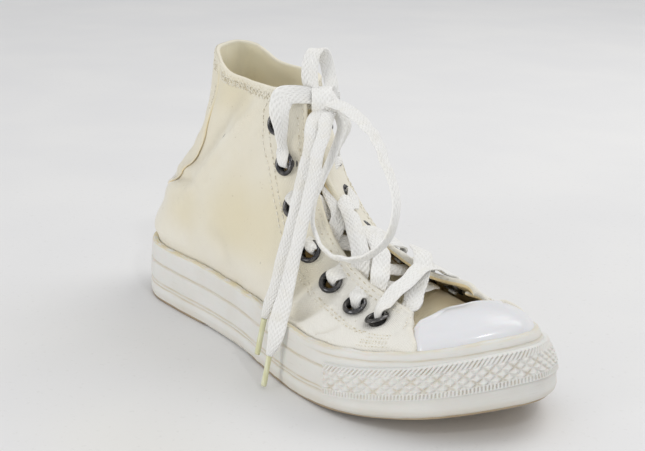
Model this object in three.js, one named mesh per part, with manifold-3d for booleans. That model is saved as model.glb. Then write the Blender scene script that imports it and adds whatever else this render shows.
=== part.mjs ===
// A worn canvas high-top sneaker, right foot, youth size. Units are mm, Z is up, the toe points to +X,
// the outer (little-toe) side is -Y and the inner (big-toe) side is +Y.
// Every piece is worked out heel-first: x = 0 at the back of the heel, and the whole shoe is moved to its
// own middle at the end.
import * as THREE from "three";
import Module from "manifold-3d";

const wasm = await Module();
wasm.setup();
const { Manifold, Mesh: SolidMesh } = wasm;

// ---------------------------------------------------------------- driving dimensions
const LENGTH = 215; // sidewall, heel to toe tip
const BALL_WIDTH = 78; // sidewall, across the ball of the foot
const TOE_SPRING = 12; // how far the toe tip curls off the floor
const SPRING_START = 137; // where the sole leaves the floor
const SIDEWALL = 3.0; // thickness of the rubber strip round the shoe
const SIDEWALL_HEEL = 26; // height of the strip at the heel
const SIDEWALL_BALL = 24.6;
const SIDEWALL_TOE = 22.8;
const TOE_LEAN = 7; // the strip leans back over the toes by this much at its top edge
const LEAN_FROM = 160;
const GAP = 0.3; // clearance between pieces that lie against each other
const WALL = 1.8; // canvas and its lining
const PLATE = 1.6; // outsole layer that shows below the strip
const CORE = 6.7; // outsole up to the insole
const INSOLE = 3.0;
const ARCH = 1.2; // how far the waist of the outsole stands off the floor
const CAP = 1.6; // rubber toe cap
const BUMPER = 1.3; // textured strip round the toe
const BUMPER_FROM = 158; // the textured strip starts here on both sides
const EYELET_HOLE = 2.6;
const EYELET_BARREL = 3.2;
const EYELET_FLANGE = 4.6;
const LACE_WIDTH = 7.4;
const LACE_THICK = 1.3;
const TONGUE = 2.0;

// outline of the rubber strip seen from above, heel back -> outer side -> toe tip -> inner side
const OUTLINE = [
  [0, 0], [6, -17], [20, -26.3], [42, -28.3], [67, -28.3], [88, -30], [108, -33.2], [129, -37.3],
  [150, -39], [164, -38.2], [180, -33.5], [197, -24], [208.5, -9], [LENGTH, 8],
  [209.5, 21.5], [198, 32], [182, 38], [164, 39], [148, 37.2], [129, 32], [108, 26.7], [88, 25.3],
  [67, 27], [42, 28.7], [20, 25.7], [6, 16],
].map(([x, y]) => [x, (y * BALL_WIDTH) / 78]);

// Sections of the last: 32 stations from the toe tip round the outer side, the heel and the inner side.
// Each row: foot of the section at the strip [x, y], then four points up the canvas, low to edge [x, y, z].
const SECTIONS = [
  [[211.6, 8], [200.5, 7.5, 36.8], [194, 5, 37.8], [186, 2, 37], [176, 1, 34]],
  [[203, -12], [194, -8, 34.8], [189, -6.8, 36.4], [183, -5.8, 36.2], [176, -5, 34]],
  [[190, -25.3], [184.5, -19.5, 31.6], [181.5, -16.5, 34], [179.5, -12.5, 35.2], [176, -9.5, 34]],
  [[176, -31.8], [174, -28, 28.8], [173, -23.5, 30.8], [173, -17.5, 33.5], [172, -11.5, 36.5]],
  [[160, -35.4], [160, -31, 26.8], [160.5, -25.5, 28.6], [162, -18.6, 31.1], [161, -11.5, 38]],
  [[146, -35.6], [147, -31.5, 26.3], [148, -25.5, 29.5], [150, -19.2, 33], [149, -11.5, 40.5]],
  [[131, -34.5], [133, -31.5, 27.5], [135, -26.5, 32.5], [137, -20, 38.3], [138, -12.5, 46]],
  [[116, -32], [118.5, -30.5, 30], [121, -27, 38], [124.5, -20.5, 47], [127, -13, 55.5]],
  [[101, -28.8], [104, -28.5, 33.5], [108, -25.5, 46.5], [112.8, -19.8, 61.5], [118, -12.5, 69]],
  [[88, -26.7], [91.5, -27.5, 37], [99, -24.5, 57], [107, -19.6, 76.8], [111.5, -12.3, 84]],
  [[76, -25.6], [80.5, -26.8, 41], [90, -23, 67], [101.3, -19.4, 91.2], [107, -11.5, 103.5]],
  [[63, -25], [69, -26, 44], [78, -22.5, 70], [87, -19.5, 91], [95, -17.3, 104]],
  [[50, -25], [55, -25, 44.5], [64, -21, 70], [71, -17.5, 92], [79, -18.3, 104.5]],
  [[35, -24.7], [39, -23.5, 43], [50, -18.5, 69], [56, -14.5, 92], [62, -16, 105.5]],
  [[20, -22.6], [23, -20.5, 42], [37.5, -14, 68], [44.5, -10, 92], [48, -10.8, 108]],
  [[8.5, -14.7], [10, -13.5, 41.5], [25.5, -6.5, 67], [34, -4, 92], [36.5, -3.8, 110]],
  [[3.3, 0], [4.5, 0, 41], [19, 1, 66], [29, 3, 92], [30.5, 4, 110.8]],
  [[8.5, 13.7], [9.5, 13, 41.5], [19.5, 12, 66], [27, 13, 92], [28, 13, 111]],
  [[20, 22], [22, 20, 42], [28, 18.5, 67], [33, 18, 92], [35, 19, 109.5]],
  [[35, 24.9], [38, 23.5, 43], [44, 21, 68], [47, 19, 91], [50, 19, 105]],
  [[50, 25.1], [53, 24, 44], [59, 22, 69], [62, 19.5, 90], [65, 19.5, 104]],
  [[63, 24.1], [67, 24, 44], [74, 21.5, 69], [76.5, 18.5, 90], [79, 18, 103.5]],
  [[76, 22.8], [81, 24, 42], [88.5, 19.5, 67], [90, 14.5, 87], [94, 5, 102.5]],
  [[88, 22], [92.5, 24.3, 38], [98.5, 20, 58.5], [101.5, 9.5, 75], [104.5, -2, 85]],
  [[101, 22.8], [105, 24.5, 34.5], [110, 19.5, 50.5], [112.5, 6.5, 62.5], [114, -6.5, 68.5]],
  [[116, 25], [119, 26, 31.5], [123, 20, 42.5], [125.5, 7.5, 51], [128, -4, 55.8]],
  [[131, 29], [133, 28.2, 30], [136, 22.5, 37], [137.5, 14, 43.2], [138.5, 4, 47.2]],
  [[146, 33.2], [147, 30.8, 29], [148.5, 25.5, 34.2], [149.5, 17.5, 38.6], [150, 8.5, 41]],
  [[160, 35.6], [160.5, 32, 28.4], [161.5, 26.5, 33.2], [162, 19, 37.2], [161, 10.5, 39.2]],
  [[175, 35.3], [174, 31, 29.5], [173, 26.5, 33], [172.5, 21, 36.2], [171, 15.5, 38]],
  [[190, 32], [185.5, 25.5, 32.2], [182.5, 21.5, 34.2], [180, 17.5, 35.2], [176.5, 13.5, 35]],
  [[203, 23.5], [195.5, 16.8, 34.8], [190.5, 13, 36.7], [184, 10, 36.7], [176, 8.5, 34]],
];
const STATIONS = SECTIONS.length;
// eyelets sit on the sections: [station, height along the section]
const EYELETS_OUTER = [[4, 4], [5, 4], [6, 4], [7, 4], [8, 4], [9, 4], [10, 4]];
const EYELETS_INNER = [[28, 4], [27, 4], [26, 4], [25, 4], [24, 4], [23, 4], [22, 4]];
const VENTS = [[22.4, 2.05], [23.8, 2.0]]; // two small breathing eyelets low on the inner side

// ---------------------------------------------------------------- helpers
const V = (x, y, z) => new THREE.Vector3(x, y, z);
const soleBase = (x) => {
  const u = Math.max(0, (x - SPRING_START) / (LENGTH - SPRING_START));
  return TOE_SPRING * Math.pow(u, 1.9);
};
const stripHeight = (x) => {
  if (x < 108) return SIDEWALL_HEEL + ((SIDEWALL_BALL - SIDEWALL_HEEL) * Math.max(0, x)) / 108;
  return SIDEWALL_BALL + ((SIDEWALL_TOE - SIDEWALL_BALL) * (x - 108)) / (LENGTH - 108);
};
const stripTop = (x) => soleBase(x) + stripHeight(x);

const outlineCurve = new THREE.CatmullRomCurve3(
  OUTLINE.map(([x, y]) => V(x, y, 0)), true, "centripetal",
);
// how far the strip leans inward at `h`, the fraction of its height
const lean = (x, h) => {
  const u = Math.min(1, Math.max(0, (x - LEAN_FROM) / (LENGTH - LEAN_FROM)));
  const v = Math.min(1, Math.max(0, (h - 0.35) / 0.65));
  return TOE_LEAN * u * u * (3 - 2 * u) * Math.pow(v, 1.5);
};
// closed outline, pushed inward by `inset` (negative pushes outward) and by the lean at height `h`
function outlineRing(inset, count, h = 0) {
  const pts = [];
  for (let i = 0; i < count; i++) {
    const u = i / count;
    const p = outlineCurve.getPoint(u);
    const a = outlineCurve.getPoint((u + 0.999) % 1);
    const b = outlineCurve.getPoint((u + 0.001) % 1);
    const t = b.sub(a).normalize();
    const d = inset + lean(p.x, typeof h === "function" ? h(p.x) : h);
    pts.push([p.x - t.y * d, p.y + t.x * d, p.x]);
  }
  return pts;
}
const footRing = outlineRing(SIDEWALL + GAP, 1200);
const lipRing = outlineRing(SIDEWALL + GAP, 1200, 1);
function snap(x, y) {
  let best = 1e9;
  let k = 0;
  footRing.forEach((p, i) => {
    const d = (p[0] - x) ** 2 + (p[1] - y) ** 2;
    if (d < best) {
      best = d;
      k = i;
    }
  });
  return k;
}
const cubic = (a, b, c, d, u) =>
  0.5 * (2 * b + (c - a) * u + (2 * a - 5 * b + 4 * c - d) * u * u + (3 * b - a - 3 * c + d) * u * u * u);
const wrap = (i) => ((i % STATIONS) + STATIONS) % STATIONS;
function level(j, s) {
  const i = Math.floor(s);
  const u = s - i;
  const p = [i - 1, i, i + 1, i + 2].map((k) => SECTIONS[wrap(k)][j]);
  return p[0].map((_, k) => cubic(p[0][k], p[1][k], p[2][k], p[3][k], u));
}
// outer face of the canvas: s runs round the foot in stations, t runs 0..1 inside the strip, 1..5 above it
const footCache = new Map();
function column(s) {
  const key = s.toFixed(5);
  if (footCache.has(key)) return footCache.get(key);
  const [fx, fy] = level(0, s);
  const k = snap(fx, fy);
  const [x, y, along] = footRing[k];
  const [lx, ly] = lipRing[k];
  const foot = V(x, y, soleBase(along) + CORE + GAP + 0.13 * lean(along, 1));
  const lip = V(lx, ly, stripTop(along));
  const up = [1, 2, 3, 4].map((j) => V(...level(j, s)));
  const before = lip.clone().lerp(foot, 8 / (lip.z - foot.z));
  const col = { foot, lip, pts: [before, lip, ...up, up[3].clone().multiplyScalar(2).sub(up[2])] };
  footCache.set(key, col);
  return col;
}
function upperPoint(s, t) {
  const col = column(s);
  if (t <= 1) return col.foot.clone().lerp(col.lip, t);
  const i = Math.min(3, Math.floor(t - 1));
  const u = t - 1 - i;
  const [a, b, c, d] = [0, 1, 2, 3].map((k) => col.pts[i + k]);
  return V(cubic(a.x, b.x, c.x, d.x, u), cubic(a.y, b.y, c.y, d.y, u), cubic(a.z, b.z, c.z, d.z, u));
}
function upperNormal(s, t) {
  const e = 0.04;
  const t0 = Math.max(t - e, 0);
  const t1 = Math.min(t + e, 5);
  const ds = upperPoint(s + 0.08, t).sub(upperPoint(s - 0.08, t));
  const dt = upperPoint(s, t1).sub(upperPoint(s, t0));
  return dt.cross(ds).normalize();
}
const onUpper = (s, t, lift) => upperPoint(s, t).addScaledVector(upperNormal(s, t), lift);

// ---------------------------------------------------------------- solids
const toGeometry = (verts, tris) => {
  const g = new THREE.BufferGeometry();
  const p = new Float32Array(verts.length * 3);
  verts.forEach((v, i) => p.set([v.x, v.y, v.z], i * 3));
  let vol = 0;
  for (const [a, b, c] of tris) vol += verts[a].dot(verts[b].clone().cross(verts[c]));
  g.setAttribute("position", new THREE.BufferAttribute(p, 3));
  g.setIndex((vol < 0 ? tris.map(([a, b, c]) => [a, c, b]) : tris).flat());
  return g;
};
// two sheets of points [row][column] joined into one closed shell; `closed` when columns wrap round
function shell(outer, inner, closed) {
  const rows = outer.length;
  const cols = outer[0].length;
  const verts = [...outer.flat(), ...inner.flat()];
  const A = (r, c) => r * cols + (c % cols);
  const B = (r, c) => rows * cols + r * cols + (c % cols);
  const tris = [];
  const quad = (a, b, c, d) => tris.push([a, b, c], [a, c, d]);
  const last = closed ? cols : cols - 1;
  for (let r = 0; r < rows - 1; r++) {
    for (let c = 0; c < last; c++) {
      quad(A(r, c), A(r, c + 1), A(r + 1, c + 1), A(r + 1, c));
      quad(B(r, c), B(r + 1, c), B(r + 1, c + 1), B(r, c + 1));
    }
  }
  for (let c = 0; c < last; c++) {
    quad(A(0, c), B(0, c), B(0, c + 1), A(0, c + 1));
    quad(A(rows - 1, c), A(rows - 1, c + 1), B(rows - 1, c + 1), B(rows - 1, c));
  }
  if (!closed) {
    for (let r = 0; r < rows - 1; r++) {
      quad(A(r, 0), A(r + 1, 0), B(r + 1, 0), B(r, 0));
      quad(A(r, cols - 1), B(r, cols - 1), B(r + 1, cols - 1), A(r + 1, cols - 1));
    }
  }
  return toGeometry(verts, tris);
}
// closed profile loops stacked round the outline: ring band, profile in order, wraps in both directions
function band(loops, open) {
  const rows = loops.length;
  const cols = loops[0].length;
  const verts = loops.flat();
  const tris = [];
  const last = open ? cols - 1 : cols;
  for (let r = 0; r < rows; r++) {
    for (let c = 0; c < last; c++) {
      const a = r * cols + c;
      const b = r * cols + ((c + 1) % cols);
      const d = ((r + 1) % rows) * cols + c;
      const e = ((r + 1) % rows) * cols + ((c + 1) % cols);
      tris.push([a, b, e], [a, e, d]);
    }
  }
  if (open) {
    for (let r = 1; r < rows - 1; r++) {
      tris.push([0, r * cols, (r + 1) * cols]);
      tris.push([cols - 1, (r + 1) * cols + cols - 1, r * cols + cols - 1]);
    }
  }
  return toGeometry(verts, tris);
}
// stack of outline rings closed by ladders of quads across the foot at the bottom and the top
function slab(rings) {
  const n = rings[0].length;
  const verts = rings.flat();
  const tris = [];
  for (let r = 0; r < rings.length - 1; r++) {
    for (let c = 0; c < n; c++) {
      const a = r * n + c;
      const b = r * n + ((c + 1) % n);
      tris.push([a, b, b + n], [a, b + n, a + n]);
    }
  }
  for (const [base, flip] of [[0, true], [(rings.length - 1) * n, false]]) {
    const push = (a, b, c) => tris.push(flip ? [a, c, b] : [a, b, c]);
    for (let i = 0; i < n / 2; i++) {
      const [a, b, c, d] = [i, i + 1, n - i - 1, (n - i) % n].map((k) => base + k);
      if (i > 0) push(a, b, d);
      if (i < n / 2 - 1) push(b, c, d);
    }
  }
  return toGeometry(verts, tris);
}
const toSolid = (g) => {
  const p = g.getAttribute("position");
  const m = new SolidMesh({ numProp: 3, vertProperties: new Float32Array(p.array), triVerts: new Uint32Array(g.index.array) });
  m.merge();
  return new Manifold(m);
};
const fromSolid = (s) => {
  const m = s.getMesh();
  const g = new THREE.BufferGeometry();
  const p = new Float32Array(m.numVert * 3);
  for (let i = 0; i < m.numVert; i++) for (let k = 0; k < 3; k++) p[i * 3 + k] = m.vertProperties[i * m.numProp + k];
  g.setAttribute("position", new THREE.BufferAttribute(p, 3));
  g.setIndex(Array.from(m.triVerts));
  return g;
};
const place = (g, origin, normal) => {
  const q = new THREE.Quaternion().setFromUnitVectors(V(0, 1, 0), normal);
  g.applyQuaternion(q);
  g.translate(origin.x, origin.y, origin.z);
  return g;
};

// ---------------------------------------------------------------- sole
const ring3 = (inset, n, zf, h = 0) => outlineRing(inset, n, h).map(([x, y, along]) => V(x, y, zf(along)));
const arch = (x) => {
  const u = (x - 58) / 52;
  return u <= 0 || u >= 1 ? 0 : ARCH * Math.min(1, 4 * u, 4 * (1 - u));
};
const N_SOLE = 80;
const outsole = slab([
  ring3(0.5, N_SOLE, (x) => soleBase(x) + arch(x)),
  ring3(0.5, N_SOLE, (x) => soleBase(x) + PLATE),
  ring3(SIDEWALL + GAP, N_SOLE, (x) => soleBase(x) + PLATE),
  ring3(SIDEWALL + GAP, N_SOLE, (x) => soleBase(x) + CORE),
]);
const insoleInset = SIDEWALL + GAP + WALL + 0.9;
const insole = slab([
  ring3(insoleInset, 72, (x) => soleBase(x) + CORE + GAP, 0.66),
  ring3(insoleInset, 72, (x) => soleBase(x) + CORE + GAP + INSOLE, 0.66),
]);
const N_STRIP = 72;
const FOX = [[0, 0.35], [0, 0.68], [0, 0.94], [0.9, 1], [SIDEWALL, 1], [SIDEWALL, 0.66], [SIDEWALL, 0.35]];
const foxing = band([
  ring3(0, N_STRIP, (x) => soleBase(x) + PLATE + GAP),
  ...FOX.map(([inset, h]) => ring3(inset, N_STRIP, (x) => soleBase(x) + stripHeight(x) * h, h)),
  ring3(SIDEWALL, N_STRIP, (x) => soleBase(x) + PLATE + GAP),
], false);
// the textured strip keeps to the front of the shoe and follows the curl of the toe
const bumperLow = (x) => (6 + (3.2 * Math.max(0, x - BUMPER_FROM)) / (LENGTH - BUMPER_FROM)) / stripHeight(x);
const bumperHigh = (x) => 1 - (5.8 - (2.4 * Math.max(0, x - BUMPER_FROM)) / (LENGTH - BUMPER_FROM)) / stripHeight(x);
function frontRing(inset, n, hf, lift) {
  const ring = outlineRing(inset, 720, hf).filter((p) => p[2] >= BUMPER_FROM);
  return Array.from({ length: n }, (_, k) => {
    const [x, y, along] = ring[Math.round((k * (ring.length - 1)) / (n - 1))];
    return V(x, y, soleBase(along) + stripHeight(along) * hf(along) + lift);
  });
}
const bumperMiddle = (x) => 0.45 * bumperLow(x) + 0.55 * bumperHigh(x);
const toeBumper = band([
  frontRing(-GAP, 44, bumperLow, 0),
  frontRing(-GAP - BUMPER, 44, bumperLow, 0.5),
  frontRing(-GAP - BUMPER, 44, bumperMiddle, 0),
  frontRing(-GAP - BUMPER, 44, bumperHigh, -0.5),
  frontRing(-GAP, 44, bumperHigh, 0),
  frontRing(-GAP, 44, bumperMiddle, 0),
], true);

// ---------------------------------------------------------------- upper
const ROWS = [0, 1, 1.3, 1.7, 2.15, 2.6, 3.1, 3.6, 4.05, 4.55, 5];
const COLS = 58;
const sheet = (lift) => ROWS.map((t) => Array.from({ length: COLS }, (_, c) => onUpper((c * STATIONS) / COLS, t, lift)));
let upperSolid = toSolid(shell(sheet(0), sheet(-WALL), true));
const eyeletFrames = [];
function eyeletFrame(name, [s, t], scale) {
  const o = upperPoint(s, t);
  const n = upperNormal(s, t);
  let lift = 0;
  for (let k = 0; k < 16; k++) {
    const a = (k * Math.PI) / 8;
    const ds = upperPoint(s + 0.1, t).sub(upperPoint(s - 0.1, t));
    const rs = (EYELET_FLANGE * scale) / (ds.length() / 0.2);
    const dt = upperPoint(s, t + 0.1).sub(upperPoint(s, t - 0.1));
    const rt = (EYELET_FLANGE * scale) / (dt.length() / 0.2);
    const p = upperPoint(s + rs * Math.cos(a), Math.min(5, t + rt * Math.sin(a)));
    lift = Math.max(lift, p.sub(o).dot(n));
  }
  const f = { name, o, n, lift: lift + 0.45, scale };
  eyeletFrames.push(f);
  return f;
}
EYELETS_OUTER.forEach((e, i) => eyeletFrame(`eyelet_outer_${i + 1}`, e, 1));
EYELETS_INNER.forEach((e, i) => eyeletFrame(`eyelet_inner_${i + 1}`, e, 1));
VENTS.forEach((e, i) => eyeletFrame(`vent_eyelet_${i + 1}`, e, 0.62));
for (const f of eyeletFrames) {
  const drill = new THREE.CylinderGeometry((EYELET_BARREL + GAP) * f.scale, (EYELET_BARREL + GAP) * f.scale, 9, 10);
  upperSolid = upperSolid.subtract(toSolid(place(drill, f.o, f.n)));
}
const upper = fromSolid(upperSolid);

const capTop = (u) => 4.45 - 0.25 * Math.abs(u) - 2.2 * Math.pow(Math.abs(u), 6);
const capSheet = (lift) => Array.from({ length: 7 }, (_, r) => Array.from({ length: 23 }, (_, c) => {
  const u = (2 * c) / 22 - 1;
  return onUpper(STATIONS - 2.15 * u, 1.07 + ((capTop(u) - 1.07) * r) / 6, lift);
}));
const toeCap = shell(capSheet(GAP + CAP), capSheet(GAP), false);

// ---------------------------------------------------------------- tongue
// the tongue lies under both flaps; its middle line runs from behind the toe cap up to the collar
const TONGUE_MID = [
  [182, 3, 29.5], [161, 1, 31], [149, 0, 32.5], [138, -3, 39], [127, -6, 48], [115, -7.5, 58.5], [105, -7, 72], [97, -5, 87], [91, -2.5, 98],
];
function tongueRow(i, depth) {
  const s = 3.2 + i * 0.86;
  const out = onUpper(s, 4.25, -WALL - 1.3 - (i === 0 ? 1.2 : 0) - depth);
  const inn = onUpper(STATIONS - s, 4.25, -WALL - 1.3 - (i === 0 ? 1.2 : 0) - depth);
  const mid = V(...TONGUE_MID[i]);
  mid.z -= depth;
  const row = [];
  for (let k = 0; k <= 10; k++) {
    const u = k / 10;
    const a = (1 - u) * (1 - 2 * u);
    const b = 4 * u * (1 - u);
    const c = u * (2 * u - 1);
    row.push(V(out.x * a + mid.x * b + inn.x * c, out.y * a + mid.y * b + inn.y * c, out.z * a + mid.z * b + inn.z * c));
  }
  return row;
}
const tongue = shell(TONGUE_MID.map((_, i) => tongueRow(i, 0)), TONGUE_MID.map((_, i) => tongueRow(i, TONGUE)), false);

// ---------------------------------------------------------------- lace
// flat cord swept along a line of points; `across` gives the direction of its width at each point
function ribbon(points, across, width, thick, samples) {
  const curve = new THREE.CatmullRomCurve3(points, false, "centripetal");
  const wide = new THREE.CatmullRomCurve3(across, false, "centripetal");
  const loops = [[], [], [], []];
  for (let k = 0; k <= samples; k++) {
    const u = k / samples;
    const p = curve.getPoint(u);
    const t = curve.getTangent(u);
    const w = wide.getPoint(u);
    w.addScaledVector(t, -w.dot(t)).normalize();
    const n = t.clone().cross(w).normalize();
    const at = (a, b) => p.clone().addScaledVector(w, (a * width) / 2).addScaledVector(n, (b * thick) / 2);
    [at(-1, -1), at(1, -1), at(1, 1), at(-1, 1)].forEach((v, q) => loops[q].push(v));
  }
  return band(loops, true);
}
const flapPoint = (station, t, lift) => onUpper(station, t, lift);
function crossing(a, b, rise) {
  // a, b: [station, +1 outer / -1 inner]
  const along = (s) => upperPoint(s + 0.3, 4.5).sub(upperPoint(s - 0.3, 4.5)).normalize();
  const p0 = flapPoint(a, 4.15, 3.6);
  const p1 = flapPoint(a, 4.85, 3.4);
  const p4 = flapPoint(b, 4.85, 3.4);
  const p5 = flapPoint(b, 4.15, 3.6);
  const mid = p1.clone().lerp(p4, 0.5).add(V(0, 0, rise));
  const wa = along(a);
  const wb = along(b).negate();
  const wm = wa.clone().add(wb).normalize();
  return ribbon([p0, p1, mid, p4, p5], [wa, wa, wm, wb, wb], LACE_WIDTH * 0.8, LACE_THICK, 5);
}
const outerStation = (i) => EYELETS_OUTER[i][0];
const innerStation = (i) => EYELETS_INNER[i][0];
let lace = toSolid(crossing(outerStation(0), innerStation(0), 3));
for (let i = 0; i < 5; i++) {
  lace = lace.add(toSolid(crossing(outerStation(i), innerStation(i + 1), 4)));
  lace = lace.add(toSolid(crossing(outerStation(i + 1), innerStation(i), 5.4)));
}
// from the sixth eyelets the lace climbs to the knot on both sides
const pts = (rows) => rows.map((r) => V(...r));
const climbOuter = pts([[0, 0, 0], [108.9, -24.6, 87.8], [108.2, -25.5, 94], [105.4, -24.5, 100.5], [105.2, -20.5, 104.4], [107, -14, 105.6], [108.6, -10.6, 104.4]]);
climbOuter[0] = flapPoint(outerStation(5), 4.15, 3.6);
const climbInner = pts([[0, 0, 0], [0, 0, 0], [110.5, 8, 90.5], [109.5, 7, 96]]);
climbInner[0] = flapPoint(innerStation(5), 4.15, 3.6);
climbInner[1] = flapPoint(innerStation(5), 4.6, 4);
const same = (v, n) => Array.from({ length: n }, () => V(...v));
lace = lace.add(toSolid(ribbon(climbOuter, same([0.95, 0.15, -0.2], climbOuter.length), LACE_WIDTH * 0.8, LACE_THICK, 7)));
lace = lace.add(toSolid(ribbon(climbInner, same([0.9, -0.2, -0.3], climbInner.length), LACE_WIDTH * 0.8, LACE_THICK, 4)));
const laceCrossings = fromSolid(lace.simplify(0.05));

const KNOT = V(108, -3, 99);
const knotBall = new THREE.SphereGeometry(1, 12, 8);
knotBall.scale(8, 7, 6.5);
knotBall.translate(KNOT.x, KNOT.y, KNOT.z);
const LOOP_UP = pts([
  [104.5, -5, 103.5], [101.5, -5.5, 107.5], [100.8, -5, 111.5], [102, -4, 116.3], [106.3, -2, 118], [111, 0, 113.5], [114, 0.5, 106.5], [112.5, -1, 101],
]);
const LOOP_FRONT = pts([
  [117.7, -4, 99.9], [126.6, -6.5, 99.7], [138.4, -10, 98.6], [151.7, -14, 94.7], [162.2, -17.5, 88], [170.6, -20.5, 81.1],
  [174.6, -23, 75], [174.3, -24.5, 67.8], [170.3, -25.5, 61.9], [163.9, -26, 57.1], [153, -26, 52.8], [143, -26, 51.8],
  [136.7, -26, 55.1], [132.3, -25.5, 60.9], [129.3, -22, 69], [127.9, -17, 76], [127.5, -12.5, 83], [125.3, -8.5, 89], [121, -5.5, 93.5],
]);
const END_ONE = pts([
  [112.6, -13, 93], [119.4, -17.6, 88], [122.9, -23.5, 75.3], [124.3, -27.3, 65.8], [124.3, -30, 55.7], [124, -35, 38.8], [122.9, -38.8, 27],
]);
const END_TWO = pts([
  [123.6, -13, 94.8], [129.9, -21.5, 86.3], [134.4, -29, 72.2], [134.3, -32.5, 60], [133.5, -35.5, 45.6], [133.2, -39.3, 31.6], [131.9, -42.7, 17],
]);
const loopUp = ribbon(LOOP_UP, same([0.55, 0.8, 0.2], LOOP_UP.length), LACE_WIDTH, LACE_THICK, 16);
const knot = fromSolid(toSolid(knotBall).add(toSolid(loopUp)).simplify(0.02)); // the knot and the short loop above it
const laceLoopFront = ribbon(LOOP_FRONT, same([-0.35, 0.9, 0.25], LOOP_FRONT.length), LACE_WIDTH * 0.75, LACE_THICK, 32);
const laceEndOne = ribbon(END_ONE, same([0.9, 0.2, 0.1], END_ONE.length), LACE_WIDTH * 0.85, LACE_THICK, 14);
const laceEndTwo = ribbon(END_TWO, same([0.9, 0.2, 0.1], END_TWO.length), LACE_WIDTH * 0.85, LACE_THICK, 14);
function aglet(from, to) {
  const axis = to.clone().sub(from);
  const g = new THREE.CylinderGeometry(1.5, 1.5, axis.length(), 10);
  return place(g, from.clone().lerp(to, 0.5), axis.normalize());
}
const agletOne = aglet(V(122.4, -39.8, 25), V(120.6, -41.4, 9.8));
const agletTwo = aglet(V(131.3, -43.3, 15), V(129.9, -45, 1.4));

// ---------------------------------------------------------------- eyelets
const EYELET_PROFILE = [
  [EYELET_HOLE, -2.1], [EYELET_HOLE, 0.7], [3.65, 1.1], [EYELET_FLANGE, 0.0], [EYELET_BARREL, 0.0], [EYELET_BARREL, -2.1],
];
function eyelet(f) {
  const turns = 10;
  const loops = EYELET_PROFILE.map(([r, h]) => Array.from({ length: turns }, (_, k) => {
    const a = (2 * Math.PI * k) / turns;
    return V(r * f.scale * Math.cos(a), h < 0 ? h : h * f.scale + f.lift, r * f.scale * Math.sin(a));
  }));
  return place(band(loops, false), f.o, f.n);
}

// ---------------------------------------------------------------- the shoe
const shoe = new THREE.Group();
shoe.name = "canvas_high_top_sneaker";
const finish = (color, roughness, metalness) => ({ color, roughness, metalness });
const CANVAS = finish(0xe9e2cc, 0.9, 0);
const RUBBER = finish(0xe6e4dd, 0.55, 0);
const LACE = finish(0xf0eee6, 0.85, 0);
const METAL = finish(0x55575c, 0.3, 0.9);
const nodes = [
  ["outsole", outsole, finish(0xb9a98a, 0.7, 0)],
  ["foxing", foxing, RUBBER],
  ["toe_bumper", toeBumper, RUBBER],
  ["insole", insole, finish(0xc9b48c, 0.9, 0)],
  ["upper", upper, CANVAS],
  ["toe_cap", toeCap, finish(0xecebf0, 0.35, 0)],
  ["tongue", tongue, finish(0xcdb994, 0.9, 0)],
  ...eyeletFrames.map((f) => [f.name, eyelet(f), METAL]),
  ["lace_crossings", laceCrossings, LACE],
  ["lace_knot", knot, LACE],
  ["lace_loop_front", laceLoopFront, LACE],
  ["lace_end_1", laceEndOne, LACE],
  ["lace_end_2", laceEndTwo, LACE],
  ["aglet_1", agletOne, finish(0xcfd08a, 0.3, 0)],
  ["aglet_2", agletTwo, finish(0xcfd08a, 0.3, 0)],
];
// the origin is under the middle of the shoe, measured without the loose lace
const LOOSE = ["lace_knot", "lace_loop_front", "lace_end_1", "lace_end_2", "aglet_1", "aglet_2"];
const bounds = new THREE.Box3();
for (const [name, geometry] of nodes) {
  geometry.computeBoundingBox();
  if (!LOOSE.includes(name)) bounds.union(geometry.boundingBox);
}
const middle = bounds.getCenter(V(0, 0, 0));
for (const [name, geometry, look] of nodes) {
  geometry.deleteAttribute("uv");
  geometry.deleteAttribute("normal");
  geometry.translate(-middle.x, -middle.y, -bounds.min.z);
  geometry.computeVertexNormals();
  const material = new THREE.MeshStandardMaterial({ ...look, name: `${name}_finish` });
  const mesh = new THREE.Mesh(geometry, material);
  mesh.name = name;
  shoe.add(mesh);
}
export default shoe;
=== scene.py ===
# %% [markdown]
# # A worn canvas high-top sneaker
# One right shoe in yellowed canvas on a rubber sole, with seven pairs of metal eyelets and a slack lace.
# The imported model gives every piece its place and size. This lesson dresses it: each panel of cloth, each
# strip of rubber, each eyelet and the whole lace is made as its own mesh, with its own finish.
# All lengths are written in millimetres measured from the back of the heel, toe towards +X and the outer
# side towards -Y, and go through one function that moves them into the model's frame in metres.

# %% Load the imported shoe
import math

import bmesh
import bpy
import numpy as np
from mathutils import Matrix, Vector


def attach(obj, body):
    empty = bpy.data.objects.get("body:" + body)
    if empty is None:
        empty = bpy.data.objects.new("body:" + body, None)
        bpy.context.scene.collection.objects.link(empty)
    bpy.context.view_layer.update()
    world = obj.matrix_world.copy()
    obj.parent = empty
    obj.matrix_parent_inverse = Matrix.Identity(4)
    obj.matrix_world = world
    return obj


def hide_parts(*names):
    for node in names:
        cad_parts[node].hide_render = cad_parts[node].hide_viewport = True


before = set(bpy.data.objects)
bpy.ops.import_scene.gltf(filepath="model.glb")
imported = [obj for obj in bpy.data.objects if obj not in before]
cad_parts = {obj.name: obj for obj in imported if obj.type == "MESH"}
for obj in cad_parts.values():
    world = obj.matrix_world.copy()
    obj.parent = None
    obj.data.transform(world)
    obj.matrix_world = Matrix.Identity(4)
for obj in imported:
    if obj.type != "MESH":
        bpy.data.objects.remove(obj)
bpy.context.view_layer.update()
MIDDLE = np.array([108.189, 0.112, 0.0])  # the middle of the shoe, from the back of the heel


def metres(points):
    return (np.asarray(points, float) - MIDDLE) / 1000.0


print("nodes in the packed shoe:", len(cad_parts))

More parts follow.
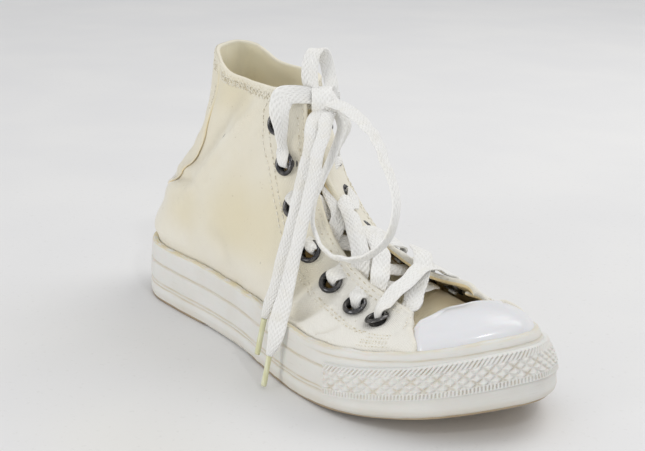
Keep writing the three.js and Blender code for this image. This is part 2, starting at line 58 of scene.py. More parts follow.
# %% [markdown]
# ## Smooth lines and soft noise
# Nearly everything on a shoe is a line that bends smoothly: the edge of the sole, a seam, the lace. A
# centripetal Catmull-Rom curve passes through every point it is given and doesn't overshoot, so one
# function serves them all. Cloth and old rubber are never quite flat, so a second function adds slow waves
# in space, made from a few sines in seeded directions. It gives the same waves at each run.

# %% Curves through points, and waves in space
def line_through(points, u, closed=False):
    p = np.asarray(points, float)
    n = len(p)
    u = np.atleast_1d(np.asarray(u, float))
    if closed:
        q = (u % 1.0) * n
        i = np.floor(q).astype(int)
        a, b, c, d = p[(i - 1) % n], p[i % n], p[(i + 1) % n], p[(i + 2) % n]
    else:
        q = np.clip(u, 0, 1) * (n - 1)
        i = np.minimum(np.floor(q).astype(int), n - 2)
        longer = np.vstack([2 * p[0] - p[1], p, 2 * p[-1] - p[-2]])
        a, b, c, d = longer[i], longer[i + 1], longer[i + 2], longer[i + 3]
    w = (q - i)[:, None]
    gap = lambda x, y: np.maximum(((x - y) ** 2).sum(1, keepdims=True) ** 0.25, 1e-6)
    t0, t1, t2 = gap(a, b), gap(b, c), gap(c, d)
    m1 = ((b - a) / t0 - (c - a) / (t0 + t1) + (c - b) / t1) * t1
    m2 = ((c - b) / t1 - (d - b) / (t1 + t2) + (d - c) / t2) * t1
    return b + m1 * w + (3 * c - 3 * b - 2 * m1 - m2) * w**2 + (2 * b - 2 * c + m1 + m2) * w**3


def waves(points, length, seed, count=9):
    """slow random waves, about -1 to 1, of roughly `length` mm"""
    rng = np.random.default_rng(seed)
    total = np.zeros(len(points))
    for _ in range(count):
        way = rng.normal(size=3)
        way *= 2 * math.pi / (length * rng.uniform(0.7, 1.5) * np.linalg.norm(way))
        total += np.sin(points @ way + rng.uniform(0, 2 * math.pi))
    return total / math.sqrt(count)


def unit(v):
    return v / np.maximum(np.linalg.norm(v, axis=-1, keepdims=True), 1e-12)


def step(x, low, high):
    u = np.clip((x - low) / (high - low), 0, 1)
    return u * u * (3 - 2 * u)


def bump_line(distance, width):
    return np.exp(-((distance / width) ** 2))


# %% [markdown]
# ## From grids to meshes
# A panel, a rubber strip and a lace are all grids of points that may close on themselves. One builder turns
# such a grid into a mesh. It also stores, at each point, where that point lies on the piece: along it and
# up it in millimetres, plus any mask for wear and for painted shade. The finishes read these, so a weave
# follows its own cloth.

# %% One builder for every grid
def to_mesh(name, points, faces, weld=None, **layers):
    mesh = bpy.data.meshes.new(name)
    mesh.from_pydata(metres(points).tolist(), [], [list(face) for face in faces])
    for key, values in layers.items():
        values = np.asarray(values, np.float32)
        kind = "FLOAT_VECTOR" if values.ndim == 2 else "FLOAT"
        layer = mesh.attributes.new(key, kind, "POINT")
        layer.data.foreach_set("vector" if values.ndim == 2 else "value", values.ravel())
    form = bmesh.new()
    form.from_mesh(mesh)
    if weld:
        bmesh.ops.remove_doubles(form, verts=form.verts, dist=weld / 1000)
    bmesh.ops.recalc_face_normals(form, faces=form.faces)
    form.to_mesh(mesh)
    form.free()
    mesh.polygons.foreach_set("use_smooth", np.ones(len(mesh.polygons), bool))
    piece = bpy.data.objects.new(name, mesh)
    bpy.context.scene.collection.objects.link(piece)
    return piece


def grid_faces(rows, cols, close_rows=False, close_cols=False, start=0):
    r = np.arange(rows if close_rows else rows - 1)
    c = np.arange(cols if close_cols else cols - 1)
    r, c = [x.ravel() for x in np.meshgrid(r, c, indexing="ij")]
    r2, c2 = (r + 1) % rows, (c + 1) % cols
    return (start + np.stack([r * cols + c, r * cols + c2, r2 * cols + c2, r2 * cols + c], 1)).tolist()


def triangles(piece):
    return sum(len(p.vertices) - 2 for p in piece.data.polygons)


def dress(piece, slot, finish, *nodes):
    """put a piece on the shoe: it rides with the body, wears the finish and stands for its nodes, which it
    hides; slot is not used
    """
    piece.data.materials.clear()
    piece.data.materials.append(finish)
    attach(piece, "root")
    if nodes:
        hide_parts(*nodes)
    print(f"{piece.name}: {triangles(piece) if piece.type == 'MESH' else 0} triangles")
    return piece


# %% [markdown]
# ## Camera
# The shoe is seen from in front of its outer side, a little above the collar, with the camera rolled by
# about a degree. A long lens keeps the heel from shrinking. It looks at the middle of the shoe.

# %% The camera
VIEW_FROM = Vector((0.3777, -0.2993, 0.1933))
VIEW_AT = Vector((-0.0085, 0.0045, 0.0468))
VIEW_ROLL = math.radians(1.25)
VIEW_LENS = 72.0

look = (VIEW_FROM - VIEW_AT).normalized()
side = Vector((0, 0, 1)).cross(look).normalized()
up = look.cross(side)
turned_side = side * math.cos(VIEW_ROLL) + up * math.sin(VIEW_ROLL)
turned_up = up * math.cos(VIEW_ROLL) - side * math.sin(VIEW_ROLL)
camera_data = bpy.data.cameras.new("studio_camera")
camera_data.lens = VIEW_LENS
camera_data.sensor_width = 36.0
camera_data.clip_start = 0.01
camera = bpy.data.objects.new("studio_camera", camera_data)
bpy.context.scene.collection.objects.link(camera)
axes = Matrix((turned_side, turned_up, look)).transposed().to_4x4()
axes.translation = VIEW_FROM
camera.matrix_world = axes
bpy.context.scene.camera = camera
print("camera is", round((VIEW_FROM - VIEW_AT).length, 3), "m from the shoe")

# %% [markdown]
# ## Finishes as sums
# A finish is a small network of nodes. Written as Python it reads like arithmetic: a class wraps a socket,
# and each operator adds the Math node it stands for. A second class holds one material and makes every
# other node through a single method: its type, its settings, then the values or links of its sockets.

# %% A socket that can be added and multiplied
class Amount:
    def __init__(self, finish, socket):
        self.finish = finish
        self.socket = socket

    def _sum(self, operation, *values, clamp=False):
        settings = {"operation": operation, "use_clamp": clamp}
        node = self.finish.node("ShaderNodeMath", settings, dict(enumerate(values)))
        return Amount(self.finish, node.outputs[0])

    def __add__(self, other):
        return self._sum("ADD", self, other)

    def __radd__(self, other):
        return self._sum("ADD", other, self)

    def __sub__(self, other):
        return self._sum("SUBTRACT", self, other)

    def __rsub__(self, other):
        return self._sum("SUBTRACT", other, self)

    def __mul__(self, other):
        return self._sum("MULTIPLY", self, other)

    def __rmul__(self, other):
        return self._sum("MULTIPLY", other, self)

    def __abs__(self):
        return self._sum("ABSOLUTE", self)

    def sine(self):
        return self._sum("SINE", self)

    def held(self):
        return self._sum("ADD", self, 0.0, clamp=True)

    def between(self, low, high):
        """0 below low, 1 above high, smooth in between"""
        settings = {"interpolation_type": "SMOOTHSTEP"}
        names = {"Value": self, "From Min": low, "From Max": high, "To Min": 0.0, "To Max": 1.0}
        return Amount(self.finish, self.finish.node("ShaderNodeMapRange", settings, names).outputs[0])


# %% One material and its nodes
class Finish:
    def __init__(self, name, **constants):
        self.material = bpy.data.materials.new(name)
        self.material.use_nodes = True
        self.tree = self.material.node_tree
        self.shader = self.tree.nodes["Principled BSDF"]
        for socket, value in constants.items():
            self.shader.inputs[socket.replace("_", " ")].default_value = value

    def node(self, kind, settings=None, sockets=None):
        node = self.tree.nodes.new(kind)
        for key, value in (settings or {}).items():
            setattr(node, key, value)
        for key, value in (sockets or {}).items():
            if isinstance(value, Amount):
                value = value.socket
            if isinstance(value, bpy.types.NodeSocket):
                self.tree.links.new(value, node.inputs[key])
            else:
                node.inputs[key].default_value = value
        return node

    def place(self):
        """where a point is on the whole shoe, in metres"""
        return self.node("ShaderNodeTexCoord").outputs["Object"]

    def stored(self, name, vector=False):
        node = self.node("ShaderNodeAttribute", {"attribute_name": name})
        return node.outputs["Vector"] if vector else Amount(self, node.outputs["Fac"])

    def parts(self, vector):
        node = self.node("ShaderNodeSeparateXYZ", None, {0: vector})
        return [Amount(self, node.outputs[k]) for k in range(3)]

    def noise(self, vector, scale, detail=3.0, roughness=0.55):
        sockets = {"Vector": vector, "Scale": scale, "Detail": detail, "Roughness": roughness}
        return Amount(self, self.node("ShaderNodeTexNoise", None, sockets).outputs[0])

    def stretched(self, vector, x, y, z):
        sockets = {0: vector, 1: (x, y, z)}
        return self.node("ShaderNodeVectorMath", {"operation": "MULTIPLY"}, sockets).outputs[0]

    def mix(self, amount, first, second, way="MIX"):
        sockets = {0: amount}
        for key, value in ((6, first), (7, second)):
            sockets[key] = (*value, 1) if isinstance(value, tuple) else value
        settings = {"data_type": "RGBA", "blend_type": way, "clamp_factor": True}
        return self.node("ShaderNodeMix", settings, sockets).outputs[2]

    def relief(self, height, distance, strength=1.0, under=None):
        sockets = {"Height": height, "Distance": distance, "Strength": strength}
        if under is not None:
            sockets["Normal"] = under
        return self.node("ShaderNodeBump", None, sockets).outputs[0]

    def spot(self, centre, reach, edge=0.3):
        """1 inside a soft egg round a point of the shoe, 0 outside; centre and reach are in mm"""
        low = metres(centre)
        moved = self.node("ShaderNodeVectorMath", {"operation": "SUBTRACT"}, {0: self.place(), 1: tuple(low)})
        scale = {0: moved.outputs[0], 1: tuple(1000.0 / r for r in reach)}
        shaped = self.node("ShaderNodeVectorMath", {"operation": "MULTIPLY"}, scale)
        far = self.node("ShaderNodeVectorMath", {"operation": "LENGTH"}, {0: shaped.outputs[0]})
        return 1 - Amount(self, far.outputs["Value"]).between(edge, 1.0)

    def wear(self, **sockets):
        """link finished values and colours to the shader"""
        for name, value in sockets.items():
            socket = value.socket if isinstance(value, Amount) else value
            self.tree.links.new(socket, self.shader.inputs[name.replace("_", " ")])
        return self.material


# %% [markdown]
# ## Floor and light
# The shoe stands on a pale seamless floor. One large soft lamp hangs above and behind it, a small one in
# front lights the toe cap, and a low one fills the outer side, under an even sky. None of it is part of the
# shoe.

# %% Floor, lamps and sky
floor_points = [(-3000, -3000, 0), (3000, -3000, 0), (3000, 3000, 0), (-3000, 3000, 0)]
floor = to_mesh("floor", floor_points, [(0, 1, 2, 3)])
floor_finish = Finish("pale_floor", Roughness=0.75)
speckle = floor_finish.noise(floor_finish.place(), 420.0, 2.0)
cloudy = floor_finish.noise(floor_finish.place(), 9.0, 2.0)
floor_tone = floor_finish.mix(cloudy.between(0.3, 0.75), (0.80, 0.80, 0.805), (0.83, 0.828, 0.825))
# painted shade: a warm, slightly darker patch on the floor beside the shoe's outer side, tinted as if by
# light bounced off the canvas
painted_bounce_shade = floor_finish.spot((240, -110, 0), (170, 60, 50), 0.1) * (0.4 + cloudy * 0.8)
floor_tone = floor_finish.mix(painted_bounce_shade.held() * 0.6, floor_tone, (0.78, 0.755, 0.66))
floor_tone = floor_finish.mix(speckle.between(0.62, 0.72) * 0.25, floor_tone, (0.66, 0.655, 0.64))
floor.data.materials.append(floor_finish.wear(Base_Color=floor_tone))


def panel_light(name, place, aim, size, power, colour):
    data = bpy.data.lights.new(name, "AREA")
    data.shape = "DISK"
    data.size = size
    data.energy = power
    data.color = colour
    lamp = bpy.data.objects.new(name, data)
    lamp.location = place
    lamp.rotation_euler = (Vector(aim) - Vector(place)).to_track_quat("-Z", "Y").to_euler()
    bpy.context.scene.collection.objects.link(lamp)


panel_light("overhead_panel", (0.1, 0.75, 1.05), (0, 0, 0.03), 1.0, 5.3, (1.0, 0.985, 0.96))
panel_light("toe_panel", (0.83, -0.2, 0.98), (0.09, 0, 0.03), 0.07, 1.1, (1.0, 1.0, 1.0))
panel_light("side_panel", (0.0, -1.4, 0.26), (0, 0, 0.06), 0.5, 4.6, (1.0, 0.99, 0.965))
sky = bpy.data.worlds.new("studio_sky")
sky.use_nodes = True
sky.node_tree.nodes["Background"].inputs["Color"].default_value = (0.985, 0.99, 1.0, 1)
sky.node_tree.nodes["Background"].inputs["Strength"].default_value = 0.66
bpy.context.scene.world = sky
bpy.context.scene.view_settings.view_transform = "Standard"
print("floor and lamps are up")

# %% [markdown]
# ## The last of the shoe
# A shoe takes its form from a last, the wooden foot it is built on. Here the last is a set of sections, one
# every few centimetres round the foot, each with its foot on the sole and four points up the cloth. A
# smooth surface runs through them. `s` counts the sections from the toe tip round the outer side and back
# along the inner side, and `t` climbs from 0 inside the rubber to 1 at its top edge and 5 at the cloth edge.

# %% Outline of the sole, and the sections of the last
LENGTH = 215.0
TOE_SPRING = 12.0
SPRING_START = 137.0
TOE_LEAN = 7.0  # how far the rubber leans back over the toes at its top edge
LEAN_FROM = 160.0
TAPE_HEEL = 26.0  # how high the rubber tape is at the heel, at the ball and at the toe
TAPE_BALL = 24.6
TAPE_TOE = 22.8
BALL = 108.0
SIDEWALL = 3.0
CORE = 6.7
GAP = 0.3
WALL = 1.8
OUTLINE = [
    (0, 0), (6, -17), (20, -26.3), (42, -28.3), (67, -28.3), (88, -30), (108, -33.2), (129, -37.3),
    (150, -39), (164, -38.2), (180, -33.5), (197, -24), (208.5, -9), (LENGTH, 8), (209.5, 21.5),
    (198, 32), (182, 38), (164, 39), (148, 37.2), (129, 32), (108, 26.7), (88, 25.3), (67, 27),
    (42, 28.7), (20, 25.7), (6, 16),
]
SECTIONS = [
    [(211.6, 8, 0), (200.5, 7.5, 36.8), (194, 5, 37.8), (186, 2, 37), (176, 1, 34)],
    [(203, -12, 0), (194, -8, 34.8), (189, -6.8, 36.4), (183, -5.8, 36.2), (176, -5, 34)],
    [(190, -25.3, 0), (184.5, -19.5, 31.6), (181.5, -16.5, 34), (179.5, -12.5, 35.2), (176, -9.5, 34)],
    [(176, -31.8, 0), (174, -28, 28.8), (173, -23.5, 30.8), (173, -17.5, 33.5), (172, -11.5, 36.5)],
    [(160, -35.4, 0), (160, -31, 26.8), (160.5, -25.5, 28.6), (162, -18.6, 31.1), (161, -11.5, 38)],
    [(146, -35.6, 0), (147, -31.5, 26.3), (148, -25.5, 29.5), (150, -19.2, 33), (149, -11.5, 40.5)],
    [(131, -34.5, 0), (133, -31.5, 27.5), (135, -26.5, 32.5), (137, -20, 38.3), (138, -12.5, 46)],
    [(116, -32, 0), (118.5, -30.5, 30), (121, -27, 38), (124.5, -20.5, 47), (127, -13, 55.5)],
    [(101, -28.8, 0), (104, -28.5, 33.5), (108, -25.5, 46.5), (112.8, -19.8, 61.5), (118, -12.5, 69)],
    [(88, -26.7, 0), (91.5, -27.5, 37), (99, -24.5, 57), (107, -19.6, 76.8), (111.5, -12.3, 84)],
    [(76, -25.6, 0), (80.5, -26.8, 41), (90, -23, 67), (101.3, -19.4, 91.2), (107, -11.5, 103.5)],
    [(63, -25, 0), (69, -26, 44), (78, -22.5, 70), (87, -19.5, 91), (95, -17.3, 104)],
    [(50, -25, 0), (55, -25, 44.5), (64, -21, 70), (71, -17.5, 92), (79, -18.3, 104.5)],
    [(35, -24.7, 0), (39, -23.5, 43), (50, -18.5, 69), (56, -14.5, 92), (62, -16, 105.5)],
    [(20, -22.6, 0), (23, -20.5, 42), (37.5, -14, 68), (44.5, -10, 92), (48, -10.8, 108)],
    [(8.5, -14.7, 0), (10, -13.5, 41.5), (25.5, -6.5, 67), (34, -4, 92), (36.5, -3.8, 110)],
    [(3.3, 0, 0), (4.5, 0, 41), (19, 1, 66), (29, 3, 92), (30.5, 4, 110.8)],
    [(8.5, 13.7, 0), (9.5, 13, 41.5), (19.5, 12, 66), (27, 13, 92), (28, 13, 111)],
    [(20, 22, 0), (22, 20, 42), (28, 18.5, 67), (33, 18, 92), (35, 19, 109.5)],
    [(35, 24.9, 0), (38, 23.5, 43), (44, 21, 68), (47, 19, 91), (50, 19, 105)],
    [(50, 25.1, 0), (53, 24, 44), (59, 22, 69), (62, 19.5, 90), (65, 19.5, 104)],
    [(63, 24.1, 0), (67, 24, 44), (74, 21.5, 69), (76.5, 18.5, 90), (79, 18, 103.5)],
    [(76, 22.8, 0), (81, 24, 42), (88.5, 19.5, 67), (90, 14.5, 87), (94, 5, 102.5)],
    [(88, 22, 0), (92.5, 24.3, 38), (98.5, 20, 58.5), (101.5, 9.5, 75), (104.5, -2, 85)],
    [(101, 22.8, 0), (105, 24.5, 34.5), (110, 19.5, 50.5), (112.5, 6.5, 62.5), (114, -6.5, 68.5)],
    [(116, 25, 0), (119, 26, 31.5), (123, 20, 42.5), (125.5, 7.5, 51), (128, -4, 55.8)],
    [(131, 29, 0), (133, 28.2, 30), (136, 22.5, 37), (137.5, 14, 43.2), (138.5, 4, 47.2)],
    [(146, 33.2, 0), (147, 30.8, 29), (148.5, 25.5, 34.2), (149.5, 17.5, 38.6), (150, 8.5, 41)],
    [(160, 35.6, 0), (160.5, 32, 28.4), (161.5, 26.5, 33.2), (162, 19, 37.2), (161, 10.5, 39.2)],
    [(175, 35.3, 0), (174, 31, 29.5), (173, 26.5, 33), (172.5, 21, 36.2), (171, 15.5, 38)],
    [(190, 32, 0), (185.5, 25.5, 32.2), (182.5, 21.5, 34.2), (180, 17.5, 35.2), (176.5, 13.5, 35)],
    [(203, 23.5, 0), (195.5, 16.8, 34.8), (190.5, 13, 36.7), (184, 10, 36.7), (176, 8.5, 34)],
]
STATIONS = len(SECTIONS)
HEEL = STATIONS // 2  # the section at the back of the heel
LEVELS = np.array(SECTIONS, float).transpose(1, 0, 2)


def sole_base(x):
    return TOE_SPRING * np.maximum(0, (x - SPRING_START) / (LENGTH - SPRING_START)) ** 1.9


def strip_height(x):
    behind = TAPE_HEEL - (TAPE_HEEL - TAPE_BALL) * np.maximum(0, x) / BALL
    before = TAPE_BALL - (TAPE_BALL - TAPE_TOE) * (x - BALL) / (LENGTH - BALL)
    return np.where(x < BALL, behind, before)


def strip_top(x):
    return sole_base(x) + strip_height(x)


def lean(x, h):
    """how far the rubber leans back over the toes at the fraction h of its height"""
    v = np.clip((h - 0.35) / 0.65, 0, 1)
    return TOE_LEAN * step(x, LEAN_FROM, LENGTH) * v**1.5


def sole_line(inset, u, h=0.0):
    """points [x, y, x before the inset] of the sole's outline, pushed inward"""
    p = line_through(OUTLINE, u, True)
    t = unit(line_through(OUTLINE, u + 0.001, True) - line_through(OUTLINE, u - 0.001, True))
    d = inset + lean(p[:, 0], h)
    return np.stack([p[:, 0] - t[:, 1] * d, p[:, 1] + t[:, 0] * d, p[:, 0]], 1)


FOOT_LINE = sole_line(SIDEWALL + GAP, np.arange(6000) / 6000)
LIP_LINE = sole_line(SIDEWALL + GAP, np.arange(6000) / 6000, 1.0)


def cubic(a, b, c, d, u):
    return 0.5 * (2 * b + (c - a) * u + (2 * a - 5 * b + 4 * c - d) * u**2 + (3 * b - a - 3 * c + d) * u**3)


def level(j, s):
    i = np.floor(s).astype(int)
    rows = [LEVELS[j][(i + k) % STATIONS] for k in (-1, 0, 1, 2)]
    return cubic(*rows, (s - i)[:, None])


COLUMN_STEPS = 64  # columns of the last are worked out once, this many to a section
ALL_S = np.arange(STATIONS * COLUMN_STEPS) / COLUMN_STEPS
nearest = [np.argmin(((FOOT_LINE[:, :2] - p[:2]) ** 2).sum(1)) for p in level(0, ALL_S)]
along = FOOT_LINE[nearest, 2]
foot_height = sole_base(along) + CORE + GAP + 0.13 * lean(along, 1.0)
ALL_FOOT = np.column_stack([FOOT_LINE[nearest, :2], foot_height])
ALL_LIP = np.column_stack([LIP_LINE[nearest, :2], strip_top(along)])


def looked_up(table, s):
    q = (s % STATIONS) * COLUMN_STEPS
    i = np.floor(q).astype(int)
    w = (q - i)[:, None]
    n = len(table)
    return table[i % n] * (1 - w) + table[(i + 1) % n] * w


def last_at(s, t):
    """points of the outer face of the cloth"""
    s, t = [np.asarray(x, float).ravel() for x in np.broadcast_arrays(s, t)]
    foot = looked_up(ALL_FOOT, s)
    lip = looked_up(ALL_LIP, s)
    high = [level(j, s) for j in (1, 2, 3, 4)]
    before = lip + (foot - lip) * (8 / (lip[:, 2] - foot[:, 2]))[:, None]
    stack = np.stack([before, lip, *high, 2 * high[3] - high[2]])
    i = np.clip(np.floor(t - 1).astype(int), 0, 3)
    n = np.arange(len(s))
    above = cubic(*[stack[i + k, n] for k in range(4)], (t - 1 - i)[:, None])
    return np.where((t <= 1)[:, None], foot + (lip - foot) * t[:, None], above)


def last_normal(s, t):
    s, t = [np.asarray(x, float).ravel() for x in np.broadcast_arrays(s, t)]
    round_foot = last_at(s + 0.08, t) - last_at(s - 0.08, t)
    up_cloth = last_at(s, np.minimum(t + 0.04, 5)) - last_at(s, np.maximum(t - 0.04, 0))
    return unit(np.cross(up_cloth, round_foot))


def off_last(s, t, lift):
    return last_at(s, t) + last_normal(s, t) * np.reshape(lift, (-1, 1))


top_row = last_at(np.arange(STATIONS), 5)
print("the last is", round(float(top_row[:, 2].max()), 1), "mm high at the collar")

# %% [markdown]
# ## The lace is cut first
# A flat woven lace is a soft tube pressed to a ribbon. Where it goes through an eyelet it bunches up, and
# where it is free it opens out again. Each stretch follows listed points. A second list says which
# way its width lies, and a third how wide it is.

# %% A ribbon of lace along listed points
LACE_WIDTH = 7.2
LACE_THICK = 1.05
LACE_AREA = LACE_WIDTH * LACE_THICK
LACE_SIDES = 18  # points round the ribbon


def lace_ring():
    a = 2 * math.pi * np.arange(LACE_SIDES) / LACE_SIDES
    wide = np.sign(np.cos(a)) * np.abs(np.cos(a)) ** 0.65
    deep = np.sign(np.sin(a)) * np.abs(np.sin(a)) ** 0.7
    return wide / 2, deep / 2


def lace(name, points, across, widths, pace=0.8, seed=1, wander=0.18, thick_most=2.6):
    """a ribbon of lace through the points; across is one direction or one for each point"""
    points = np.asarray(points, float)
    n = len(points)
    across = np.broadcast_to(np.asarray(across, float), (n, 3))
    widths = np.broadcast_to(np.asarray(widths, float), (n,))
    fine = line_through(points, np.linspace(0, 1, 400))
    length = np.linalg.norm(np.diff(fine, axis=0), axis=1).sum()
    count = max(12, int(length / pace))
    reach = np.concatenate([[0], np.cumsum(np.linalg.norm(np.diff(fine, axis=0), axis=1))])
    u = np.interp(np.linspace(0, length, count), reach, np.linspace(0, 1, 400))
    middle = line_through(points, u)
    middle += wander * np.stack([waves(middle, 9.0, seed + k, 5) for k in range(3)], 1)
    tangent = unit(np.gradient(middle, axis=0))
    flat = line_through(across, u)
    flat = unit(flat - tangent * (flat * tangent).sum(1, keepdims=True))
    deep = np.cross(tangent, flat)
    width = line_through(np.column_stack([widths, widths * 0, widths * 0]), u)[:, 0]
    width *= 1 + 0.03 * waves(middle, 7.0, seed + 9, 5)
    thick = np.clip(LACE_AREA / width, LACE_THICK * 0.95, thick_most)
    a, b = lace_ring()
    cup = 0.07 * width * waves(middle, 16.0, seed + 20, 4)
    grid = middle[:, None] + flat[:, None] * (a[None, :, None] * width[:, None, None])
    lift = b[None, :] * thick[:, None] + cup[:, None] * (4 * a[None, :] ** 2 - 0.5)
    grid = grid + deep[:, None] * lift[:, :, None]
    s = np.linspace(0, length, count)
    cloth = np.zeros((count, LACE_SIDES, 3))
    cloth[..., 0] = s[:, None]
    cloth[..., 1] = a[None, :] * LACE_WIDTH
    cloth[..., 2] = np.sign(b)[None, :]
    verts = grid.reshape(-1, 3)
    faces = grid_faces(count, LACE_SIDES, close_cols=True)
    half = LACE_SIDES // 2
    ends = []
    for base in (0, (count - 1) * LACE_SIDES):
        for k in range(half - 1):
            across_from = base + (LACE_SIDES - k - 1) % LACE_SIDES
            ends.append((base + k, base + k + 1, base + LACE_SIDES - k - 2, across_from))
    piece = to_mesh(name, verts, faces + ends, cloth=cloth.reshape(-1, 3))
    return piece, middle, length


def joined(name, parts):
    bpy.ops.object.select_all(action="DESELECT")
    for part in parts:
        part.select_set(True)
    bpy.context.view_layer.objects.active = parts[0]
    bpy.ops.object.join()
    parts[0].name = name
    parts[0].data.name = name
    return parts[0]


# %% [markdown]
# Cotton lace has a herringbone weave: short threads slope one way on one half of its width and the other
# way on the other half. The slope comes from the place along and across the lace that the ribbon stored.
# The gaps between the threads are darker, and handling has left the lace faintly yellow in patches.

# %% Lace finish
lace_finish = Finish("lace_cotton_weave", Roughness=0.85, Sheen_Weight=0.25, Sheen_Roughness=0.5)
run, over, _ = lace_finish.parts(lace_finish.stored("cloth", vector=True))
herringbone = (run * 2.6 + abs(over) * 3.4).sine()
ribs = (over * 7.5).sine()
thread = herringbone * 0.5 + ribs * 0.25
lace_dirt = lace_finish.noise(lace_finish.place(), 130.0, 4.0).between(0.45, 0.75)
lace_tone = lace_finish.mix(lace_dirt * 0.5, (0.91, 0.905, 0.885), (0.85, 0.82, 0.73))
lace_tone = lace_finish.mix(thread.between(-0.2, -0.75) * 0.22, lace_tone, (0.62, 0.59, 0.52))
lace_normal = lace_finish.relief(thread, 0.00022, 0.8)
LACE = lace_finish.wear(Base_Color=lace_tone, Normal=lace_normal)
print("lace", LACE_WIDTH, "mm wide and", LACE_THICK, "mm thick")

# %% [markdown]
# ## Loops, knot and ends
# The lace skips the top pair of eyelets and is tied in a slack half bow by the collar: one wide loop leans
# out in front, a short loop stands up, and two ends hang down the outer side to the floor. Each is a cord
# of its own. The knot itself is a band pulled round a small core, as a real bow is.

# %% The knot
KNOT = np.array([108.0, -3.0, 99.0])
KNOT_AXIS = unit(np.array([0.7, 0.71, 0.05]))


def wound(name, centre, axis, radii, turns, start, width, seed):
    """a ribbon wound round an axis, as the band of a knot is"""
    first = unit(np.cross(axis, (0, 0, 1)))
    second = np.cross(axis, first)
    count = int(14 * turns) + 1
    a = start + 2 * math.pi * turns * np.arange(count) / (count - 1)
    rings = first * (radii[0] * np.cos(a))[:, None] + second * (radii[1] * np.sin(a))[:, None]
    return lace(name, centre + rings, axis, width, pace=0.7, seed=seed, wander=0.12)


band, _, _ = wound("knot_band", KNOT, KNOT_AXIS, (5.6, 5.4), 1.12, 2.2, 7.6, 5)
under_axis = unit(np.array([0.35, 0.5, -0.8]))
under, _, _ = wound("knot_under", KNOT + (0.6, 1.2, -0.8), under_axis, (5.2, 4.6), 1.15, 0.4, 7.0, 15)
core_points = KNOT + np.outer(np.linspace(-6.4, 6.4, 7), KNOT_AXIS) + (0, 0, 0.4)
core, _, _ = lace("knot_core", core_points, (0.2, 0.1, 1), 6.6, seed=25, thick_most=6.0)
core_two, _, _ = lace("knot_core_two", core_points + (0.4, -0.6, -0.6), (0.6, -0.6, 0.3), 6.4, seed=26)
dress(joined("lace_knot_tied", [band, under, core, core_two]), "lace_cotton", LACE, "lace_knot")

# %% The loops
LOOP_UP = [
    (108.6, -4.6, 97.6), (106, -5.6, 101), (105.4, -6.8, 104.7), (105.4, -7.4, 108), (105.6, -7.6, 111.6),
    (105.7, -7.2, 115.2), (105.3, -5.6, 117.6), (105, -3.2, 118.3), (105, -1, 116.8), (105.8, 0.2, 113),
    (107.2, 0.4, 109.2), (109.6, 0, 104.4), (111, -1.4, 100.4),
]
LOOP_FRONT = [
    (111.2, -3, 99.8), (117.7, -4, 99.9), (126.6, -6.5, 99.7), (138.4, -10, 98.6), (151.7, -14, 94.7),
    (162.2, -17.5, 88), (170.6, -20.5, 81.1), (174.6, -23, 75), (174.3, -24.5, 67.8), (170.3, -25.5, 61.9),
    (163.9, -26, 57.1), (153, -26, 52.8), (143, -26, 51.8), (136.7, -26, 55.1), (132.3, -25.5, 60.9),
    (130.3, -23.5, 68.5), (128.9, -19, 75.3), (128.9, -15, 82.6), (127.3, -10.5, 89.1), (124.3, -6.5, 93.5),
    (118.3, -4, 96.4),
]


def cord_of(piece, nodes):
    dress(piece, "lace_cotton", LACE, *nodes)


up_widths = [4.6, 5.2, 6.0, 6.3, 6.3, 6.2, 6.1, 6, 5.7, 5.4, 5.2, 5, 4.6]
up_loop, up_middle, _ = lace("lace_loop_up_ribbon", LOOP_UP, (0.70, 0.70, 0.06), up_widths, seed=31)
cord_of(up_loop, [])
FACING = np.array([0.676, -0.681, 0.28])  # the loop is seen nearly along its width
FRONT_TURN = [38, 38, 36, 34, 32, 28, 26, 26, 24, 20, 15, 13, 13, 14, 16, 24, 36, 44, 44, 50, 50]
front_way = unit(np.gradient(np.array(LOOP_FRONT, float), axis=0))
turn = np.radians(FRONT_TURN)[:, None] * 0.85
front_across = FACING * np.cos(turn) + unit(np.cross(front_way, FACING)) * np.sin(turn)
front_widths = [5.4] + [5.8] * 3 + [5.5] * 16 + [5.0]
front_loop, front_middle, _ = lace("lace_loop_front_ribbon", LOOP_FRONT, front_across, front_widths, seed=41)
cord_of(front_loop, ["lace_loop_front"])

# %% [markdown]
# The two ends hang with their flat side turned outward and forward, and pinch into clear plastic tips. A
# tip, or aglet, is a short tube of rolled film: slightly waisted, with a seam, and yellow-green with age.

# %% The ends and their tips
END_ONE = [
    (111.5, -7, 96.5), (115.8, -13.8, 93), (119.6, -17.4, 88.3), (122.1, -20.2, 83), (122.9, -23.5, 75.3),
    (124.3, -27.3, 65.8), (124.3, -30, 55.7), (123.8, -32.4, 46.8), (124, -35, 38.8), (123.5, -37.6, 31.5),
    (122.5, -39.4, 24.3),
]
END_TWO = [
    (116.8, -7.5, 96.6), (122.6, -13, 94.6), (126.6, -17.5, 90.8), (129.7, -21.5, 86.3), (132.2, -25, 80.3),
    (133.9, -28.5, 72.2), (134.3, -31.5, 63.3), (133.8, -33.5, 54.5), (133.5, -35.5, 45.6),
    (133.7, -37.5, 38.5), (133.2, -39.3, 31.6), (132.9, -41, 25.5), (132.8, -42.3, 19.8),
    (131.1, -43.2, 13.5),
]
TIPS = [((122.4, -39.6, 24.2), (120.6, -41.4, 9.8)), ((131.1, -43.2, 14.2), (129.9, -45, 1.3))]
TIP_RADIUS = 1.3

tip_finish = Finish("aged_clear_plastic", Roughness=0.22, IOR=1.46, Coat_Roughness=0.1)
tip_streak = tip_finish.noise(tip_finish.stretched(tip_finish.place(), 900, 900, 120), 1.0)
tip_tone = tip_finish.mix(tip_streak.between(0.35, 0.7), (0.66, 0.65, 0.40), (0.78, 0.79, 0.60))
TIP = tip_finish.wear(Base_Color=tip_tone)


